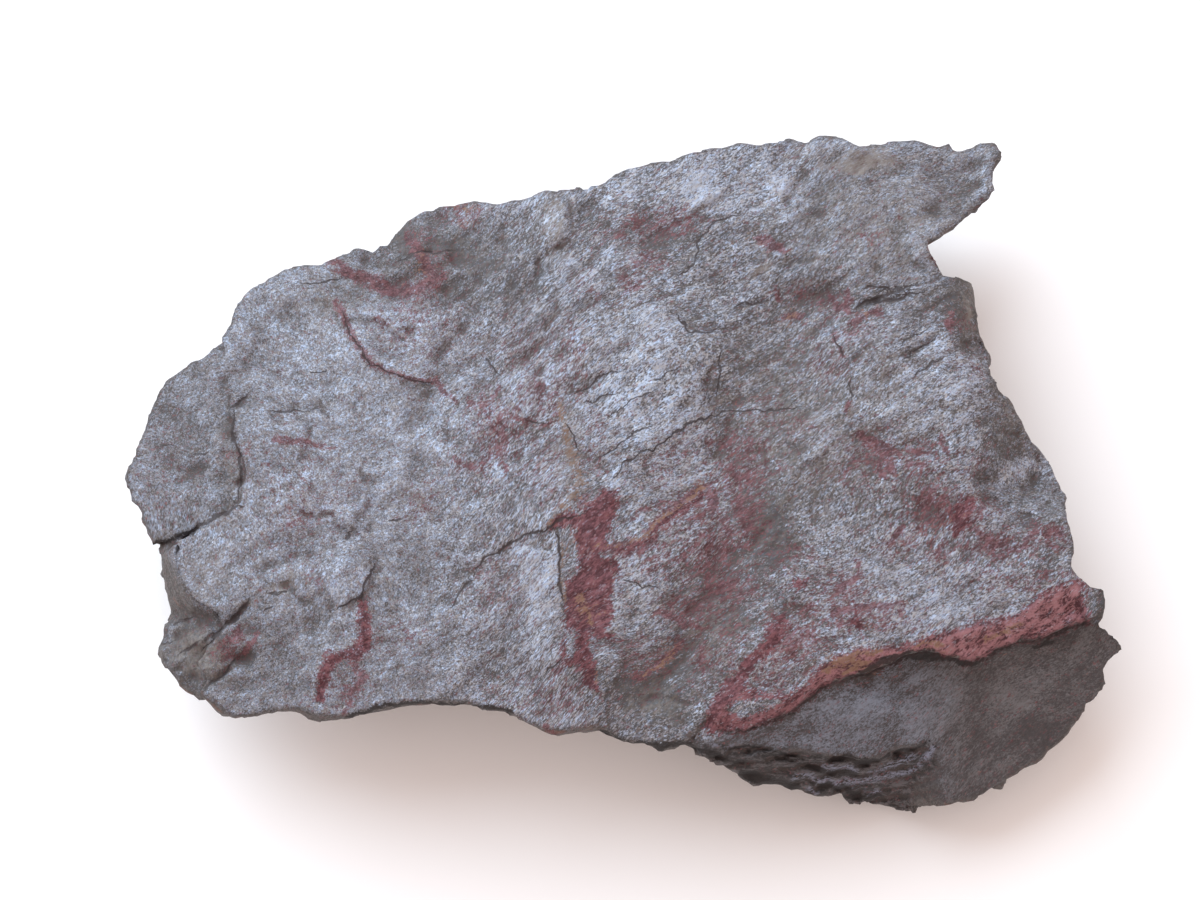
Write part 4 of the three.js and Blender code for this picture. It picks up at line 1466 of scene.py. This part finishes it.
def schist():
    """Glittering grey mica, with a dark lower leaf, dull broken sides, rust and cracks."""
    n = Nodes("schist")
    t = shared_textures(n)
    light = mica_light(n, t)
    front = n.times(n.mark("front"), n.rest(t.below))
    dusty = n.span(n.total(t.tan, (n.centred(t.crumbs), 1.2)), 0.1, 0.8)
    # Hollows painted darker as shade, in a dirt colour, and dulled
    hollow_shade_and_dirt = n.span(n.total(t.hollow, (n.centred(t.crumbs), 0.25)), 0.03, 0.22)
    # Painted shadow in the crevices and under the lip
    painted_crevice_shadow = n.span(n.total(n.mark("painted_crevice_shadow"), (n.centred(t.fine), 1.6)), 0.25, 0.75)
    crack = crack_share(n, t)

    colour = n.blend(n.times(n.mark("leaf"), 0.95), mica_colour(n, t, light), leaf_colour(n, t))
    colour = n.blend(n.times(t.side, 0.85), colour, side_colour(n, t))
    colour = n.blend(n.times(front, 0.92), colour, front_colour(n, t))
    colour = n.blend(n.times(dusty, 0.7), colour, DUST)
    # Painted shade in the hollows
    colour = n.blend(n.times(hollow_shade_and_dirt, 0.55), colour, HOLLOW_SHADE_AND_DIRT)
    colour, cover = rusted(n, t, colour)
    # Painted shadow in crevices and under the lip
    colour = n.blend(n.times(painted_crevice_shadow, 0.88), colour, CREVICE_SHADOW)
    colour = n.blend(n.times(crack, 0.85), colour, CRACK)

    dull = n.math("MAXIMUM", n.math("MAXIMUM", cover, n.times(t.side, 0.8)), hollow_shade_and_dirt)
    polish = n.rest(dull)
    n.fill(n.shader, {
        "Base Color": colour,
        "Metallic": n.times(n.times(polish, n.span(light, 0.3, 0.9)), 0.40),
        "Roughness": n.total(0.78, (n.times(polish, n.span(t.chosen, 0.0, 1.0)), -0.30)),
        "Normal": facing(n, t, crack, cover),
        "Specular IOR Level": 0.4,
    })
    return n.material


def pale(name, colour, roughness):
    n = Nodes(name)
    n.fill(n.shader, {"Base Color": (*colour, 1.0), "Roughness": roughness})
    return n.material


def add_floor():
    mesh = bpy.data.meshes.new("floor")
    corners = [(-1, -1), (1, -1), (1, 1), (-1, 1)]
    mesh.from_pydata([(FLOOR_HALF * x, FLOOR_HALF * y, 0) for x, y in corners], [], [(0, 1, 2, 3)])
    mesh.materials.append(pale("floor", FLOOR_COLOUR, 0.9))
    return added("floor", mesh)


def add_camera():
    data = bpy.data.cameras.new("camera")
    data.sensor_fit = "HORIZONTAL"
    data.angle = 2 * math.atan(PICTURE_WIDTH_PX / 2 * MM_PER_PX / VIEW_DISTANCE)
    data.clip_start = 0.01
    camera = added("camera", data)
    backwards = Vector((0, -math.sin(VIEW_TILT), math.cos(VIEW_TILT)))
    camera.location = Vector(AIM) * MM + backwards * (VIEW_DISTANCE * MM)
    camera.rotation_euler = (VIEW_TILT, 0, 0)
    bpy.context.scene.camera = camera


def add_window():
    data = bpy.data.lights.new("window", "AREA")
    data.shape = "DISK"
    data.size = WINDOW_SIZE
    data.energy = WINDOW_POWER
    data.color = WINDOW_COLOUR
    light = added("window", data)
    light.location = WINDOW_PLACE
    light.rotation_euler = (-Vector(WINDOW_PLACE)).to_track_quat("-Z", "Y").to_euler()


def add_world():
    world = bpy.data.worlds.new("world")
    world.use_nodes = True
    background = world.node_tree.nodes["Background"]
    background.inputs["Color"].default_value = (*ROOM_COLOUR, 1)
    background.inputs["Strength"].default_value = ROOM_STRENGTH
    bpy.context.scene.world = world


add_camera()
add_floor()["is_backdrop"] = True
add_window()
add_world()
bpy.context.scene.view_settings.view_transform = "Standard"

stone = add_stone()
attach(stone, "root")
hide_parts("schist_slab")

boxes = {"cad": cad_box, "visual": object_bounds()}
boxes = {name: [[float(c) for c in corner] for corner in box] for name, box in boxes.items()}
